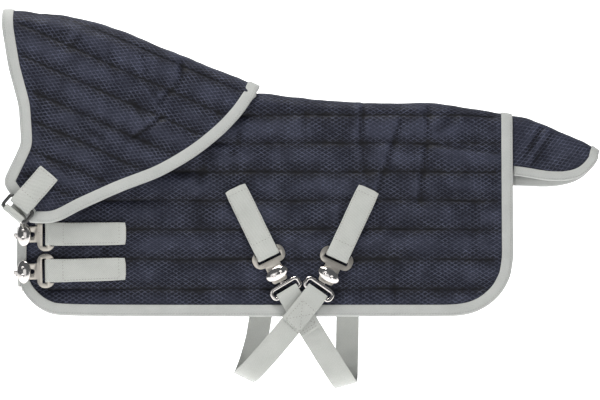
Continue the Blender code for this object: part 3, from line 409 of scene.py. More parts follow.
def plated(name, base, roughness, wear):
    """Plated metal with fine scratches and duller patches."""
    material, nodes = principled(name, base, roughness, 1.0)
    place = nodes.position(uv=False)
    patches = nodes.cloud(place, 0.35, 4.0, 0.6)
    stretch = nodes.add("ShaderNodeMapping")
    stretch.inputs["Scale"].default_value = (0.4, 0.4, 5.0)
    nodes.join(place, stretch.inputs["Vector"])
    scratches = nodes.cloud(stretch.outputs[0], 1.6, 6.0, 0.7)
    nodes.rough(nodes.maths("MULTIPLY_ADD", patches, wear, nodes.maths("MULTIPLY_ADD", scratches, wear * 0.6,
                                                                      roughness - wear * 0.8)))
    nodes.colour(nodes.blend(nodes.ramp(patches, 0.3, 0.7), tuple(c * 0.93 for c in base), base))
    nodes.bump(scratches, 0.02 * MM, 0.25)
    return material


def black_enamel(name):
    material, nodes = principled(name, (0.022, 0.022, 0.021), 0.3, Coat_Weight=0.4)
    place = nodes.position(uv=False)
    wear = nodes.cloud(place, 0.4, 5.0, 0.65)
    nodes.colour(nodes.blend(nodes.ramp(wear, 0.6, 0.75), (0.02, 0.02, 0.019), (0.09, 0.088, 0.082)))
    nodes.rough(nodes.ramp(wear, 0.3, 0.7, 0.22, 0.45))
    nodes.bump(wear, 0.06 * MM, 0.3)
    return material


def thread(name, base):
    material, nodes = principled(name, base, 0.7, Sheen_Weight=0.3)
    place = nodes.position(uv=False)
    twist = nodes.cloud(place, 3.0, 3.0, 0.6)
    nodes.colour(nodes.blend(twist, tuple(c * 0.7 for c in base), tuple(c * 1.25 for c in base)))
    nodes.bump(twist, 0.05 * MM, 0.5)
    return material


# Cloth


class Cloth:
    """One side of a panel: its outward face, closely meshed, with flat coordinates for each vertex."""

    def __init__(self, node, radius, levels):
        bm = cad_mesh(node)
        tops = sorted((v.co.x, v.co.z) for v in bm.verts if abs(v.co.y) < 0.4 * MM)
        self.radius = radius
        self.tops = self.upper_hull(tops)
        away = []
        for face in bm.faces:
            centre = face.calc_center_median()
            rise = max(centre.z - (self.top(centre.x) - radius), 0.0)
            if face.normal.dot(Vector((0, centre.y, rise)).normalized()) < 0.5:
                away.append(face)
        bmesh.ops.delete(bm, geom=away, context="FACES")
        joined_quads(bm)
        for _ in range(4):
            tall = [e for e in bm.edges if e.calc_length() > 11 * MM and self.is_upright(*e.verts)]
            bmesh.ops.subdivide_edges(bm, edges=tall, cuts=1, use_grid_fill=True)
        self.bm = smoothed(bm, levels)
        self.bm.verts.ensure_lookup_table()
        self.bm.normal_update()
        self.flat = [self.flattened(v.co) for v in self.bm.verts]
        self.rim = self.rim_distances()

    @staticmethod
    def is_upright(start, end):
        return abs(end.co.z - start.co.z) > abs(end.co.x - start.co.x)

    @staticmethod
    def upper_hull(points):
        """The highest point in each millimetre along the spine."""
        best = {}
        for x, z in points:
            key = round(x / MM)
            if key not in best or z > best[key][1]:
                best[key] = (x, z)
        return [best[key] for key in sorted(best)]

    def top(self, x):
        tops = self.tops
        if x <= tops[0][0]:
            return tops[0][1]
        for (x0, z0), (x1, z1) in zip(tops, tops[1:]):
            if x <= x1:
                return z0 + (z1 - z0) * (x - x0) / (x1 - x0)
        return tops[-1][1]

    def flattened(self, co):
        """Along the rug, and up the cloth as if it hung straight to the spine."""
        spring = self.top(co.x) - self.radius
        if co.z <= spring:
            return (co.x, co.z)
        angle = math.atan2(co.z - spring, abs(co.y))
        return (co.x, spring + self.radius * angle)

    def rim_distances(self):
        rim = [v for v in self.bm.verts if v.is_boundary and abs(v.co.y) > 1.2 * MM]
        tree = kdtree.KDTree(len(rim))
        for i, vert in enumerate(rim):
            tree.insert(vert.co, i)
        tree.balance()
        return [tree.find(v.co)[2] for v in self.bm.verts]

    def layer(self, name, offset, thick, relief, material):
        """A solid layer of the cloth whose outward face is moved inwards by offset and relief(u, v, rim)."""
        bm = self.bm.copy()
        bm.verts.ensure_lookup_table()
        # hollow keeps the relief's depth in mm for the ripstop's painted shade in seams and creases and its
        # painted highlight on crowns
        hollow = bm.verts.layers.float.new("hollow")
        moves = []
        for i, vert in enumerate(bm.verts):
            sink = relief(*self.flat[i], self.rim[i])
            vert[hollow] = sink / MM
            moves.append(vert.co - self.bm.verts[i].normal * (offset + sink))
        for vert, place in zip(bm.verts, moves):
            vert.co = place
        uv = bm.loops.layers.uv.new("cloth")
        for face in bm.faces:
            for loop in face.loops:
                loop[uv].uv = self.flat[loop.vert.index]
        obj = new_object(name, bm, material)
        apply_modifier(obj, "SOLIDIFY", thickness=thick, offset=-1.0, use_even_offset=False)
        return obj

    def area(self):
        return sum(face.calc_area() for face in self.bm.faces)

    def edge_chain(self):
        """The free edge as vertices in order, from one end of the spine to the other."""
        edges = [e for e in self.bm.edges
                 if e.is_boundary and not all(abs(v.co.y) < 1.0 * MM for v in e.verts)]
        links = {}
        for edge in edges:
            for vert in edge.verts:
                links.setdefault(vert, []).append(edge.other_vert(vert))
        start = max((v for v, near in links.items() if len(near) == 1), key=lambda v: v.co.x)
        chain, previous, here = [start], None, start
        while True:
            onward = [v for v in links[here] if v is not previous]
            if not onward:
                return chain
            previous, here = here, onward[0]
            chain.append(here)


def seam_sink(distance, seams):
    """How far a channel sinks there, from 0 on its crown to 1 in a seam, and the distance to that seam."""
    for high, low in zip(seams, seams[1:]):
        if low <= distance <= high:
            share = (distance - low) / (high - low)
            crown = (4 * share * (1 - share)) ** 0.42
            return 1 - crown, min(distance - low, high - distance)
    return 0.0, 10.0


def crease_sink(u, v, creases):
    """Depth of the creases there in millimetres; each has a soft ridge beside it."""
    total = 0.0
    for (x0, y0), (x1, y1), depth, width in creases:
        dx, dy = x1 - x0, y1 - y0
        length = math.hypot(dx, dy)
        along = ((u - x0) * dx + (v - y0) * dy) / length**2
        side = ((u - x0) * dy - (v - y0) * dx) / length
        side += 1.1 * noise.noise(Vector((along * length / 9, x0, 3.1)))
        if abs(side) > 5 * width or not -0.25 < along < 1.25:
            continue
        fade = min(max((0.5 - abs(along - 0.5)) / 0.22 + 0.6, 0), 1)
        total += depth * fade * math.exp(-((side / width) ** 2))
        total -= 0.5 * depth * fade * math.exp(-(((side - 2.1 * width) / (1.2 * width)) ** 2))
    return total


def quilt_relief(settings, seams, creases, turn=0.0, calm=1.0):
    """A function for the depth of quilting, creases and puckers below the cloth's crown."""
    cos, sin = math.cos(turn), math.sin(turn)

    def relief(u, v, rim):
        u, v = u / MM, v / MM
        drift = 1.1 * noise.noise(Vector((u / 42, v / 60, 7.7)))
        across = v * cos + u * sin + drift
        sink, near = seam_sink(across, seams)
        pucker = noise.noise(Vector((u / 5.5, across / 16, 1.7))) * math.exp(-near / 5.0)
        slow = noise.noise(Vector((u / 34, v / 22, 0.4)))
        quick = noise.noise(Vector((u / 11, v / 10, 5.2)))
        depth = settings.channel_depth / MM * sink + 0.5 * pucker + calm * (0.7 * slow + 0.45 * quick)
        depth += crease_sink(u, v, creases)
        edge = min(max((rim / MM - 6) / 9, 0.12), 1)
        return (0.25 + min(max(depth, -0.35), 3.3) * edge) * MM

    return relief


def tape_over(name, chain, ply, width, material):
    """A tape folded round the free edge of a cloth. The chain holds (place, outward normal, inward)."""
    deep = ply / MM
    wide = width / MM
    profile = (
        (wide, -0.75), (wide - 0.5, -1.0), (wide * 0.72, -1.12), (wide * 0.4, -1.12), (0.6, -1.12),
        (-0.5, -0.9), (-1.0, 0.0), (-1.1, deep / 2), (-1.0, deep), (-0.5, deep + 0.9), (0.6, deep + 1.12),
        (wide * 0.5, deep + 1.12), (wide - 0.5, deep + 1.0), (wide, deep + 0.75), (wide, deep + 0.4),
        (0.4, deep + 0.3), (-0.3, deep - 0.3), (-0.3, 0.3), (0.4, -0.3), (wide, -0.4),
    )
    run = [0.0]
    for profile_start, profile_end in zip(profile, profile[1:]):
        run.append(run[-1] + math.dist(profile_start, profile_end))
    bm = bmesh.new()
    uv = bm.loops.layers.uv.new("cloth")
    loops, along = [], [0.0]
    for i, (place, out, inward) in enumerate(chain):
        if i:
            along.append(along[-1] + (place - chain[i - 1][0]).length)
        ripple = 0.12 * noise.noise(Vector((along[-1] / (7 * MM), 2.2, 0)))
        loops.append([bm.verts.new(place + inward * (a * MM) - out * ((b - ripple) * MM))
                      for a, b in profile])
    count = len(profile)
    for i, (a, b) in enumerate(zip(loops, loops[1:])):
        for k in range(count):
            other = (k + 1) % count
            face = bm.faces.new((a[k], a[other], b[other], b[k]))
            start, end = run[k] * MM, (run[k] + math.dist(profile[k], profile[other])) * MM
            for loop, place in zip(face.loops, ((along[i], start), (along[i], end), (along[i + 1], end),
                                                (along[i + 1], start))):
                loop[uv].uv = place
    bm.faces.new(loops[0])
    bm.faces.new(loops[-1])
    bmesh.ops.recalc_face_normals(bm, faces=bm.faces)
    return new_object(name, bm, material)


def framed_chain(verts, spacing=1.6 * MM):
    """Evenly spaced (place, normal, inward) along a free edge, with its corners eased."""
    points = [v.co.copy() for v in verts]
    normals = [v.normal.copy() for v in verts]
    middles = [sum((f.calc_center_median() for f in v.link_faces), Vector()) / len(v.link_faces)
               for v in verts]
    kept = [0]
    for i in range(1, len(points)):
        if (points[i] - points[kept[-1]]).length > spacing:
            kept.append(i)
    if kept[-1] != len(points) - 1:
        kept[-1] = len(points) - 1
    made = []
    for k, i in enumerate(kept):
        before, after = points[kept[max(k - 2, 0)]], points[kept[min(k + 2, len(kept) - 1)]]
        along = (after - before).normalized()
        inward = normals[i].cross(along).normalized()
        if inward.dot(middles[i] - points[i]) < 0:
            inward = -inward
        made.append((points[i], normals[i], inward))
    return made


def show_as(obj, body, slot, *nodes):
    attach(obj, body)
    if nodes:
        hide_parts(*nodes)


def panel_layers(operator, group, body, radius, seams, creases, turn, levels=3):
    """The outer quilt, the lining and the edge tape of one group of panels, near and far."""
    cloth_set, web = operator.settings("rug_cloth"), operator.settings("rug_webbing")
    outer = ripstop(f"navy_ripstop_{group}", cloth_set, turn)
    lining_finish = satin_lining(f"silver_lining_{group}", cloth_set)
    tape_finish = woven(f"edge_tape_{group}", tuple(web.tape_colour), 6.0, 4.6, 0.55, 8.0)
    relief = quilt_relief(cloth_set, seams, creases, turn)
    for side in SIDES:
        cloth = Cloth(f"{group}_outer_{side}", radius, levels)
        quilt = cloth.layer(f"{group}_quilt_{side}", 0.0, 1.1 * MM, relief, outer)
        show_as(quilt, body, "navy_cloth", f"{group}_outer_{side}", f"{group}_filling_{side}")
        inside = cloth_set.thickness - 0.9 * MM

        def lining_relief(u, v, rim):
            sink = relief(u, v, rim)
            return max(-0.3 * sink, sink + 1.2 * MM - inside)

        lining = cloth.layer(f"{group}_lining_cloth_{side}", inside, 0.5 * MM, lining_relief, lining_finish)
        show_as(lining, body, "grey_lining", f"{group}_lining_{side}")
        tapes = operator.tapes(cloth, side, web, tape_finish, cloth_set.thickness)
        cloth.area()


class RugOperator:
    bl_options = {"REGISTER", "UNDO"}

    @staticmethod
    def settings(name):
        return getattr(bpy.context.scene, name)


class RUG_OT_body(RugOperator, bpy.types.Operator):
    """Make the body's quilted sides, lining and edge tapes"""

    bl_idname = "rug.body"
    bl_label = "Body"

    def tapes(self, cloth, side, web, finish, ply):
        chain = cloth.edge_chain()
        corner = min(range(len(chain)), key=lambda i: chain[i].co.x * 3 - chain[i].co.z * 0.3)
        edge = tape_over(f"body_tape_{side}", framed_chain(chain[: corner + 1]), ply, web.tape_width, finish)
        show_as(edge, "rug", "grey_tape", f"body_binding_{side}")
        rest = [v for v in chain[corner:]
                if v.co.x > chain[corner].co.x + 11 * MM and abs(v.co.y) > 12.5 * MM]
        neckline = tape_over(f"neckline_tape_{side}", framed_chain(rest), ply, web.tape_width, finish)
        show_as(neckline, "rug", "grey_tape", f"neckline_binding_{side}")
        return [edge, neckline]

    def execute(self, context):
        radius = self.settings("rug_cloth").body_radius
        panel_layers(self, "body", "rug", radius, BODY_SEAMS, BODY_CREASES, 0.0)
        return {"FINISHED"}


class RUG_OT_neck(RugOperator, bpy.types.Operator):
    """Make the neck cover's quilted sides, lining and edge tape"""

    bl_idname = "rug.neck"
    bl_label = "Neck cover"

    def tapes(self, cloth, side, web, finish, ply):
        chain = framed_chain(cloth.edge_chain())
        edge = tape_over(f"neck_tape_{side}", chain, ply, web.tape_width, finish)
        show_as(edge, "neck_cover", "grey_tape", f"neck_front_binding_{side}", f"neck_rear_binding_{side}")
        return [edge]

    def execute(self, context):
        radius = self.settings("rug_cloth").neck_radius
        panel_layers(self, "neck", "neck_cover", radius, NECK_SEAMS, NECK_CREASES, NECK_SEAM_TURN)
        return {"FINISHED"}


class RUG_OT_tail(RugOperator, bpy.types.Operator):
    """Make the tail flap's cloth, lining and edge tape"""

    bl_idname = "rug.tail"
    bl_label = "Tail flap"

    def execute(self, context):
        cloth_set, web = self.settings("rug_cloth"), self.settings("rug_webbing")
        outer = ripstop("navy_ripstop_tail", cloth_set, math.radians(-20))
        lining_finish = satin_lining("silver_lining_tail", cloth_set)
        tape_finish = woven("edge_tape_tail", tuple(web.tape_colour), 6.0, 4.6, 0.55, 6.6)
        relief = quilt_relief(cloth_set, (60, 50, -90, -100), TAIL_CREASES, 0.0, 1.3)
        for side in SIDES:
            cloth = Cloth(f"tail_outer_{side}", cloth_set.tail_radius, 3)
            front = min(p[0] for p in cloth.flat)
            for vert in cloth.bm.verts:
                vert.co.x -= 1.3 * MM * max(1 - (vert.co.x - front) / (12 * MM), 0)
            flap = cloth.layer(f"tail_flap_{side}", 0.0, 0.8 * MM, relief, outer)
            show_as(flap, "tail_flap", "navy_cloth", f"tail_outer_{side}")
            lining = cloth.layer(f"tail_lining_cloth_{side}", 1.25 * MM, 0.5 * MM, relief, lining_finish)
            show_as(lining, "tail_flap", "grey_lining", f"tail_lining_{side}")
            chain = cloth.edge_chain()
            lowest = min(range(len(chain)), key=lambda i: chain[i].co.x * 2 + chain[i].co.z * 0.4)
            part = chain[: lowest + 1] if lowest > len(chain) / 2 else chain[lowest:]
            edge = tape_over(f"tail_tape_{side}", framed_chain(part), 1.9 * MM, web.tape_width * 0.8,
                             tape_finish)
            show_as(edge, "tail_flap", "grey_tape", f"tail_binding_{side}")
            cloth.area()
            cloth.area()
        return {"FINISHED"}


# Webbing


def webbing_from(node, name, across, material, ripple=0.15):
    """The strap as it lies, with softened edges, and coordinates along and across it."""
    bm = cad_mesh(node)
    joined_quads(bm, 50)
    crease = bm.edges.layers.float.new("crease_edge")
    for edge in bm.edges:
        if len(edge.link_faces) == 2 and edge.calc_face_angle() > math.radians(60):
            edge[crease] = 0.72
    bm = smoothed(bm, 2)
    side = Vector(across).normalized()
    along = side.cross(Vector((0, 1, 0))).normalized()
    uv = bm.loops.layers.uv.new("cloth")
    bm.normal_update()
    for vert in bm.verts:
        place = vert.co / (9 * MM)
        vert.co += vert.normal * (ripple * MM * noise.noise(place))
    for face in bm.faces:
        for loop in face.loops:
            loop[uv].uv = (loop.vert.co.dot(along), loop.vert.co.dot(side))
    return new_object(name, bm, material)


def clip_frame(kind, which):
    """A clip's frame: its keeper's slot is the origin, u across, v towards the hook, w outwards."""
    lift, tilt = JOINTS[f"{kind}_keeper_{which}_lift"], JOINTS[f"{kind}_hook_{which}_tilt"]
    start = Vector(lift["pos_m"])
    u = Vector(lift["axis"]).normalized()
    v = (Vector(tilt["pos_m"]) - start).normalized()
    w = u.cross(v).normalized()
    origin = start + v * (3.5 * MM)
    return axes_matrix(u, v, w, origin)


def stitches(name, surface, rows, settings, material):
    """Stitches along straight rows, laid on a surface seen from the near side."""
    tree_mesh = bmesh.new()
    tree_mesh.from_mesh(surface.data)
    tree = BVHTree.FromBMesh(tree_mesh)
    bm = bmesh.new()
    step = settings.stitch_length * 1.5
    for start, end in rows:
        start, end = Vector(start), Vector(end)
        count = max(int((end - start).length / step), 1)
        heading = (end - start).normalized()
        for i in range(count):
            centre = start + (end - start) * ((i + 0.5) / count)
            hit, normal, _, _ = tree.ray_cast(Vector((centre.x, -0.2, centre.z)), Vector((0, 1, 0)))
            if hit is None:
                continue
            along = (heading - normal * heading.dot(normal)).normalized()
            side = normal.cross(along)
            made = bmesh.ops.create_icosphere(bm, subdivisions=1, radius=1.0)["verts"]
            turn = axes_matrix(along, side, normal, hit)
            shape = Matrix.Diagonal((settings.stitch_length / 2, 0.27 * MM, 0.2 * MM, 1))
            bmesh.ops.transform(bm, matrix=turn @ shape, verts=made)
    tree_mesh.free()
    return new_object(name, bm, material)


def box_with_cross(corner_a, corner_b, corner_c, corner_d):
    """Rows of a box stitched with a cross, from its corners in order."""
    return [(corner_a, corner_b), (corner_b, corner_c), (corner_c, corner_d), (corner_d, corner_a),
            (corner_a, corner_c), (corner_b, corner_d)]


class RUG_OT_webbing(RugOperator, bpy.types.Operator):
    """Make the tabs and straps with their stitched rows and boxes"""

    bl_idname = "rug.webbing"
    bl_label = "Tabs and straps"

    def tab(self, kind, which, webbing, sewing, web):
        place = clip_frame(kind, which)
        name = f"{kind}_tab_{which}"
        across = place.to_3x3() @ Vector((1, 0, 0))
        piece = webbing_from(name, f"{name}_webbing", across, webbing)
        show_as(piece, "rug", "grey_webbing", name)
        far_row, far_end = -TAB_END_ROWS[kind] * MM, (2 - TAB_LENGTHS[kind]) * MM

        def at(u, v):
            return place @ Vector((u * MM, v, 0))

        rows = [(at(-8.6, -LOOP_ROW * MM), at(8.6, -LOOP_ROW * MM)), (at(-8.8, far_row), at(8.8, far_row))]
        rows += [(at(u, -17 * MM), at(u, far_end)) for u in (-8.9, 8.9)]
        sewn = stitches(f"{name}_stitches", piece, rows, web, sewing)
        show_as(sewn, "rug", "grey_webbing")

    def execute(self, context):
        web = self.settings("rug_webbing")
        base = tuple(web.webbing_colour)
        webbing = woven("grey_webbing_weave", base, 5.2, 3.6)
        elastic = woven("grey_elastic_weave", base, 2.6, 6.4, 0.66)
        sewing = thread("sewing_thread", tuple(web.stitch_colour))
        for kind, which, _ in CLIPS:
            self.tab(kind, which, webbing, sewing, web)
        for which in ("upper", "lower"):
            strap = webbing_from(f"chest_strap_{which}", f"chest_elastic_{which}", UP, elastic, 0.05)
            show_as(strap, "rug", "grey_webbing", f"chest_strap_{which}")
        for which, lean in (("front", 31.4), ("rear", -41.8)):
            angle = math.radians(lean)
            across = Vector((math.cos(angle), 0, math.sin(angle)))
            down = Vector((math.sin(angle), 0, -math.cos(angle)))
            name = f"surcingle_strap_{which}"
            strap = webbing_from(name, f"surcingle_elastic_{which}", across, elastic, 0.1)
            show_as(strap, "rug", "grey_webbing", name)
            bar = clip_frame("surcingle", which) @ Vector((0, 36 * MM, 0))
            first, last = bar + down * (12 * MM), bar + down * (34 * MM)
            corners = (first - across * 8.4 * MM, first + across * 8.4 * MM, last + across * 8.4 * MM,
                       last - across * 8.4 * MM)
            rows = box_with_cross(*corners)
            under = last + down * (2.2 * MM)
            rows.append((under - across * (8.4 * MM), under + across * (8.4 * MM)))
            sewn = stitches(f"surcingle_stitches_{which}", strap, rows, web, sewing)
            show_as(sewn, "rug", "grey_webbing")
        swing = JOINTS["throat_ring_swing"]
        ring_across = Vector(swing["axis"])
        tab = webbing_from("throat_tab", "throat_tab_webbing", ring_across, webbing)
        show_as(tab, "neck_cover", "grey_webbing", "throat_tab")
        strap = webbing_from("throat_strap", "throat_strap_webbing", ring_across, webbing)
        show_as(strap, "neck_cover", "grey_webbing", "throat_strap")
        hinge = Vector(swing["pos_m"])
        across = Vector((ring_across.x, 0, ring_across.z)).normalized()
        up = Vector((-across.z, 0, across.x))
        up = up if up.z > 0 else -up
        rows = [(hinge + up * d - across * (8.6 * MM), hinge + up * d + across * (8.6 * MM))
                for d in (9 * MM, 33.5 * MM)]
        rows += [(hinge + up * (9 * MM) + across * s, hinge + up * (33.5 * MM) + across * s)
                 for s in (-8.8 * MM, 8.8 * MM)]
        sewn = stitches("throat_tab_stitches", tab, rows, web, sewing)
        show_as(sewn, "neck_cover", "grey_webbing")
        return {"FINISHED"}


# Metal


def active():
    return bpy.context.view_layer.objects.active


def select_edges(bm, test):
    for item in list(bm.faces) + list(bm.edges) + list(bm.verts):
        item.select = False
    for edge in bm.edges:
        if test(edge):
            edge.select = True


def block(size, at, corner=0.0, segments=6):
    """A block at its size and place in millimetres, with its upright corners rounded."""
    deselect()
    bpy.ops.mesh.primitive_cube_add(size=1, location=[c * MM for c in at], scale=[s * MM for s in size])
    obj = active()
    bpy.ops.object.transform_apply(location=True, rotation=True, scale=True)
    if corner:
        bpy.ops.object.mode_set(mode="EDIT")
        bpy.ops.mesh.select_mode(type="EDGE")
        bm = bmesh.from_edit_mesh(obj.data)
        select_edges(bm, lambda e: abs((e.verts[0].co - e.verts[1].co).normalized().z) > 0.9)
        bmesh.update_edit_mesh(obj.data)
        bpy.ops.mesh.bevel(offset=corner * MM, segments=segments, affect="EDGES")
        bpy.ops.object.mode_set(mode="OBJECT")
    return obj


def combine(obj, other, operation):
    apply_modifier(obj, "BOOLEAN", operation=operation, object=other, solver="EXACT")
    bpy.data.objects.remove(other)


def eased(obj, width, segments=3, angle=35):
    apply_modifier(obj, "BEVEL", width=width * MM, segments=segments, limit_method="ANGLE",
                   angle_limit=math.radians(angle), harden_normals=False)


def finish_metal(obj, name, place, material):
    obj.name = name
    obj.data.name = name
    obj.data.transform(place)
    obj.matrix_world = Matrix.Identity(4)
    obj.data.materials.clear()
    obj.data.materials.append(material)
    deselect()
    bpy.context.view_layer.objects.active = obj
    obj.select_set(True)
    bpy.ops.object.mode_set(mode="EDIT")
    bpy.ops.mesh.select_all(action="SELECT")
    bpy.ops.mesh.normals_make_consistent(inside=False)
    bpy.ops.object.mode_set(mode="OBJECT")
    bpy.ops.object.shade_smooth_by_angle(angle=math.radians(32))
    return obj


def keeper_plate(thick):
    """A stadium head with a webbing slot, and a neck with a key slot."""
    plate = block((30, 15.4, thick), (0, -1.3, 0), 6.9, 8)
    combine(plate, block((14, 19, thick), (0, 13.5, 0), 2.4, 5), "UNION")
    combine(plate, block((21.6, 5.6, 6), (0, -7.9, 0), 1.0, 3), "DIFFERENCE")
    combine(plate, block((22, 3.8, 6), (0, 0, 0), 0.9, 3), "DIFFERENCE")
    combine(plate, block((4.4, 12.2, 6), (0, 14.7, 0), 2.1, 6), "DIFFERENCE")
    for side in (-1, 1):
        combine(plate, block((2.2, 9, 0.9), (side * 5.5, 13.6, thick / 2 + 0.1), 0.8, 4), "UNION")
    eased(plate, 0.42)
    return plate


def dome_head(back):
    """A polished dome with a finger hollow either side of its ridge."""
    deselect()
    bpy.ops.mesh.primitive_uv_sphere_add(segments=40, ring_count=20, radius=1, location=(0, 0, 0))
    dome = active()
    dome.scale = (10.5 * MM, 6.2 * MM, 3.3 * MM)
    bpy.ops.object.transform_apply(location=True, rotation=True, scale=True)
    bpy.ops.object.mode_set(mode="EDIT")
    bpy.ops.mesh.select_all(action="SELECT")
    bpy.ops.mesh.bisect(plane_co=(0, 0, 0.35 * MM), plane_no=(0, 0, 1), clear_inner=True, use_fill=True)
    bpy.ops.object.mode_set(mode="OBJECT")
    for side in (-1, 1):
        deselect()
        bpy.ops.mesh.primitive_uv_sphere_add(segments=24, ring_count=12, radius=1.9 * MM,
                                             location=(side * 3.4 * MM, 0.6 * MM, 4.3 * MM))
        combine(dome, active(), "DIFFERENCE")
    eased(dome, 0.3, 3, 40)
    dome.data.transform(Matrix.Translation((0, 0, (back - 0.35) * MM)))
    return dome


def ring(at, turn=0.0):
    outer = block((30, 11.8, 2.4), (0, 0, 0), 4.9, 9)
    combine(outer, block((23.6, 5.4, 6), (0, 0, 0), 1.9, 6), "DIFFERENCE")
    eased(outer, 0.95, 4)
    outer.data.transform(Matrix.Translation([c * MM for c in at]) @ Matrix.Rotation(turn, 4, "X"))
    return outer


def hook_straight(thick):
    back, tongue_w = thick / 2 + 0.4, -(thick + 1.2) / 2 - 0.5
    hook = ring((0, 15.3, 0))
    tongue = block((3.4, 10.6, 1.2), (0, 3.5, tongue_w), 0.6, 3)
    eased(tongue, 0.25, 2)
    combine(hook, tongue, "UNION")
    riser = block((3.4, 3.2, 2.6), (0, 9.6, tongue_w + 0.9), 0.6, 3)
    eased(riser, 0.25, 2)
    combine(hook, riser, "UNION")
    return with_stem(hook, back, tongue_w)


def with_stem(hook, back, tongue_w):
    deselect()
    tall = back - tongue_w + 0.9
    bpy.ops.mesh.primitive_cylinder_add(vertices=28, radius=1.45 * MM, depth=tall * MM,
                                        location=(0, 0, ((back + tongue_w) / 2 + 0.25) * MM))
    combine(hook, active(), "UNION")
    combine(hook, dome_head(back), "UNION")
    return hook


def hook_bent(thick):
    """The chest hook: its tongue turns in round the chest edge, then back to its ring."""
    back, tongue_w = thick / 2 + 0.4, -(thick + 1.2) / 2 - 0.5
    inwards = Vector((math.cos(BEND_ANGLE), -math.sin(BEND_ANGLE)))
    turn = Vector((BEND_OUT, tongue_w))
    deep = turn + inwards * BEND_IN
    far = deep + Vector((inwards.y, -inwards.x)) * BEND_BACK
    middle = far + inwards * (5.9 - 1.6)
    hook = ring((0, middle.x, middle.y), -BEND_ANGLE)
    corners = [Vector((-1.7, tongue_w)), turn, deep, far]
    for start, end in zip(corners, corners[1:]):
        length, angle = (end - start).length, math.atan2(end.y - start.y, end.x - start.x)
        bar = block((3.4, length + 1.2, 1.2), (0, 0, 0), 0.58, 4)
        eased(bar, 0.25, 2)
        centre = (start + end) / 2
        place = Matrix.Translation((0, centre.x * MM, centre.y * MM))
        bar.data.transform(place @ Matrix.Rotation(angle, 4, "X"))
        combine(hook, bar, "UNION")
    return with_stem(hook, back, tongue_w)


class RUG_OT_clips(RugOperator, bpy.types.Operator):
    """Make the keepers and hooks of the chest and the surcingles"""

    bl_idname = "rug.clips"
    bl_label = "Clips"

    def execute(self, context):
        metal = self.settings("rug_metal")
        thick = metal.plate_thickness / MM
        nickel = plated("satin_nickel", tuple(metal.nickel_colour), 0.3, 0.14)
        chrome = plated("polished_chrome", tuple(metal.chrome_colour), 0.12, 0.06)
        models = {"keeper": keeper_plate(thick), "surcingle": hook_straight(thick), "chest": hook_bent(thick)}
        for kind, which, turn in CLIPS:
            place = clip_frame(kind, which)
            stem = metal.chest_stem if kind == "chest" else metal.surcingle_stem
            plate = self.copy(models["keeper"], f"{kind}_keeper_plate_{which}", place, nickel)
            show_as(plate, f"{kind}_keeper_{which}", "nickel", f"{kind}_keeper_{which}")
            turned = Matrix.Rotation(math.radians(turn), 4, "Z")
            hook_place = place @ Matrix.Translation((0, stem, 0)) @ turned
            hook = self.copy(models[kind], f"{kind}_hook_dome_{which}", hook_place, chrome)
            show_as(hook, f"{kind}_hook_{which}", "chrome", f"{kind}_hook_{which}")
        for model in models.values():
            bpy.data.objects.remove(model)
        return {"FINISHED"}

    @staticmethod
    def copy(model, name, place, material):
        obj = model.copy()
        obj.data = model.data.copy()
        bpy.context.scene.collection.objects.link(obj)
        return finish_metal(obj, name, place, material)


class RUG_OT_throat_ring(RugOperator, bpy.types.Operator):
    """Make the black ring at the throat"""

    bl_idname = "rug.throat_ring"
    bl_label = "Throat ring"

    def execute(self, context):
        swing = JOINTS["throat_ring_swing"]
        hinge, u = Vector(swing["pos_m"]), Vector(swing["axis"]).normalized()
        low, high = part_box("throat_ring")
        middle = (Vector(low) + Vector(high)) / 2
        v = (middle - hinge)
        v = (v - u * v.dot(u)).normalized()
        w = u.cross(v)
        wire = block((28.6, 15, 3), (0, 6, 0), 3.9, 8)
        combine(wire, block((22.6, 9, 8), (0, 6, 0), 1.2, 5), "DIFFERENCE")
        eased(wire, 1.2, 5)
        place = axes_matrix(u, v, w, hinge)
        obj = finish_metal(wire, "throat_ring_enamel", place, black_enamel("black_enamel"))
        show_as(obj, "throat_ring", "black_ring", "throat_ring")
        return {"FINISHED"}


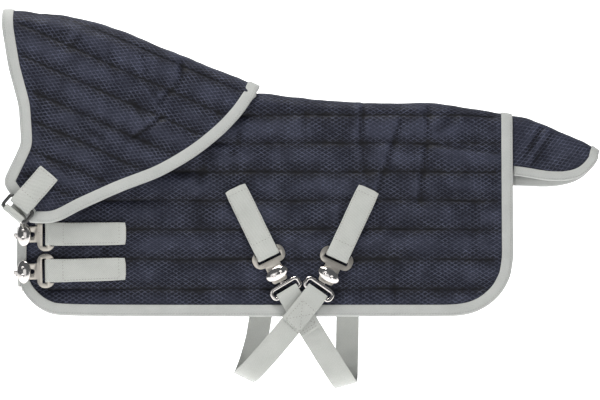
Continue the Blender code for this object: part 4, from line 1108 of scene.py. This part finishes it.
class RUG_OT_stage(RugOperator, bpy.types.Operator):
    """Set up the pale floor, the soft lights and the camera"""

    bl_idname = "rug.stage"
    bl_label = "Stage"

    def light(self, name, place, aim, size, power, colour=(1, 1, 1)):
        data = bpy.data.lights.new(name, "AREA")
        data.shape = "RECTANGLE"
        data.size, data.size_y = size
        data.energy = power
        data.color = colour
        lamp = bpy.data.objects.new(name, data)
        bpy.context.scene.collection.objects.link(lamp)
        lamp.location = place
        lamp.rotation_euler = (Vector(aim) - Vector(place)).to_track_quat("-Z", "Y").to_euler()

    def execute(self, context):
        stage = self.settings("rug_stage")
        scene = context.scene
        low, high = CAD_BOX
        floor_z = low[2] - stage.floor_drop
        profile = [(-9.0, floor_z), (5.5, floor_z)]
        for k in range(1, 9):
            angle = math.radians(90 * k / 8)
            profile.append((5.5 + 0.5 * math.sin(angle), floor_z + 0.5 * (1 - math.cos(angle))))
        profile.append((6.0, 7.0))
        bm = bmesh.new()
        columns = [[bm.verts.new((x, y, z)) for y, z in profile] for x in (-9.0, 9.0)]
        for k in range(len(profile) - 1):
            bm.faces.new((columns[0][k], columns[1][k], columns[1][k + 1], columns[0][k + 1]))
        paper, nodes = principled("pale_paper", (0.93, 0.93, 0.93), 0.9)
        nodes.shader.inputs["Emission Color"].default_value = (1, 1, 1, 1)
        nodes.shader.inputs["Emission Strength"].default_value = 0.93
        floor = new_object("floor", bm, paper)
        world = bpy.data.worlds.new("studio")
        world.use_nodes = True
        world.node_tree.nodes["Background"].inputs["Color"].default_value = (0.9, 0.95, 1.0, 1)
        world.node_tree.nodes["Background"].inputs["Strength"].default_value = 0.16
        scene.world = world
        centre = Vector((-0.069, 0, -0.08))
        self.light("key", (-0.35, -0.3, 1.2), centre, (1.2, 0.3), 24, (1.0, 0.99, 0.97))
        self.light("fill", (1.3, -1.0, -0.3), centre, (0.6, 1.0), 2.2)
        self.light("front", (-0.6, -2.4, 0.3), centre, (1.2, 0.8), 3.2)
        scene.view_settings.view_transform = "Standard"
        camera = bpy.data.cameras.new("camera")
        camera.lens = stage.lens
        camera.clip_end = 50
        holder = bpy.data.objects.new("camera", camera)
        scene.collection.objects.link(holder)
        holder.location = (-0.0686, -stage.distance - 0.025, -0.082)
        holder.rotation_euler = (math.radians(90), 0, 0)
        scene.camera = holder
        return {"FINISHED"}


class RUG_PT_panel(bpy.types.Panel):
    """Lists the rug's operators and settings"""

    bl_label = "Toy pony rug"
    bl_idname = "RUG_PT_panel"
    bl_space_type = "VIEW_3D"
    bl_region_type = "UI"
    bl_category = "Rug"

    def draw(self, context):
        for operator in OPERATORS:
            self.layout.operator(operator.bl_idname)
        for name, group in SETTINGS.items():
            box = self.layout.box()
            for key in group.__annotations__:
                box.prop(getattr(context.scene, name), key)


SETTINGS = {"rug_cloth": ClothSettings, "rug_webbing": WebbingSettings, "rug_metal": MetalSettings,
            "rug_stage": StageSettings}
OPERATORS = (RUG_OT_stage, RUG_OT_body, RUG_OT_neck, RUG_OT_tail, RUG_OT_webbing, RUG_OT_clips,
             RUG_OT_throat_ring)


def register():
    for cls in (*SETTINGS.values(), *OPERATORS, RUG_PT_panel):
        bpy.utils.register_class(cls)
    for name, group in SETTINGS.items():
        setattr(bpy.types.Scene, name, bpy.props.PointerProperty(type=group))


def unregister():
    for name in SETTINGS:
        delattr(bpy.types.Scene, name)
    for cls in reversed((*SETTINGS.values(), *OPERATORS, RUG_PT_panel)):
        bpy.utils.unregister_class(cls)


def main():
    register()
    bpy.ops.rug.stage()
    bpy.ops.rug.body()
    bpy.ops.rug.neck()
    bpy.ops.rug.tail()
    bpy.ops.rug.webbing()
    bpy.ops.rug.clips()
    bpy.ops.rug.throat_ring()


if __name__ == "__main__":
    main()
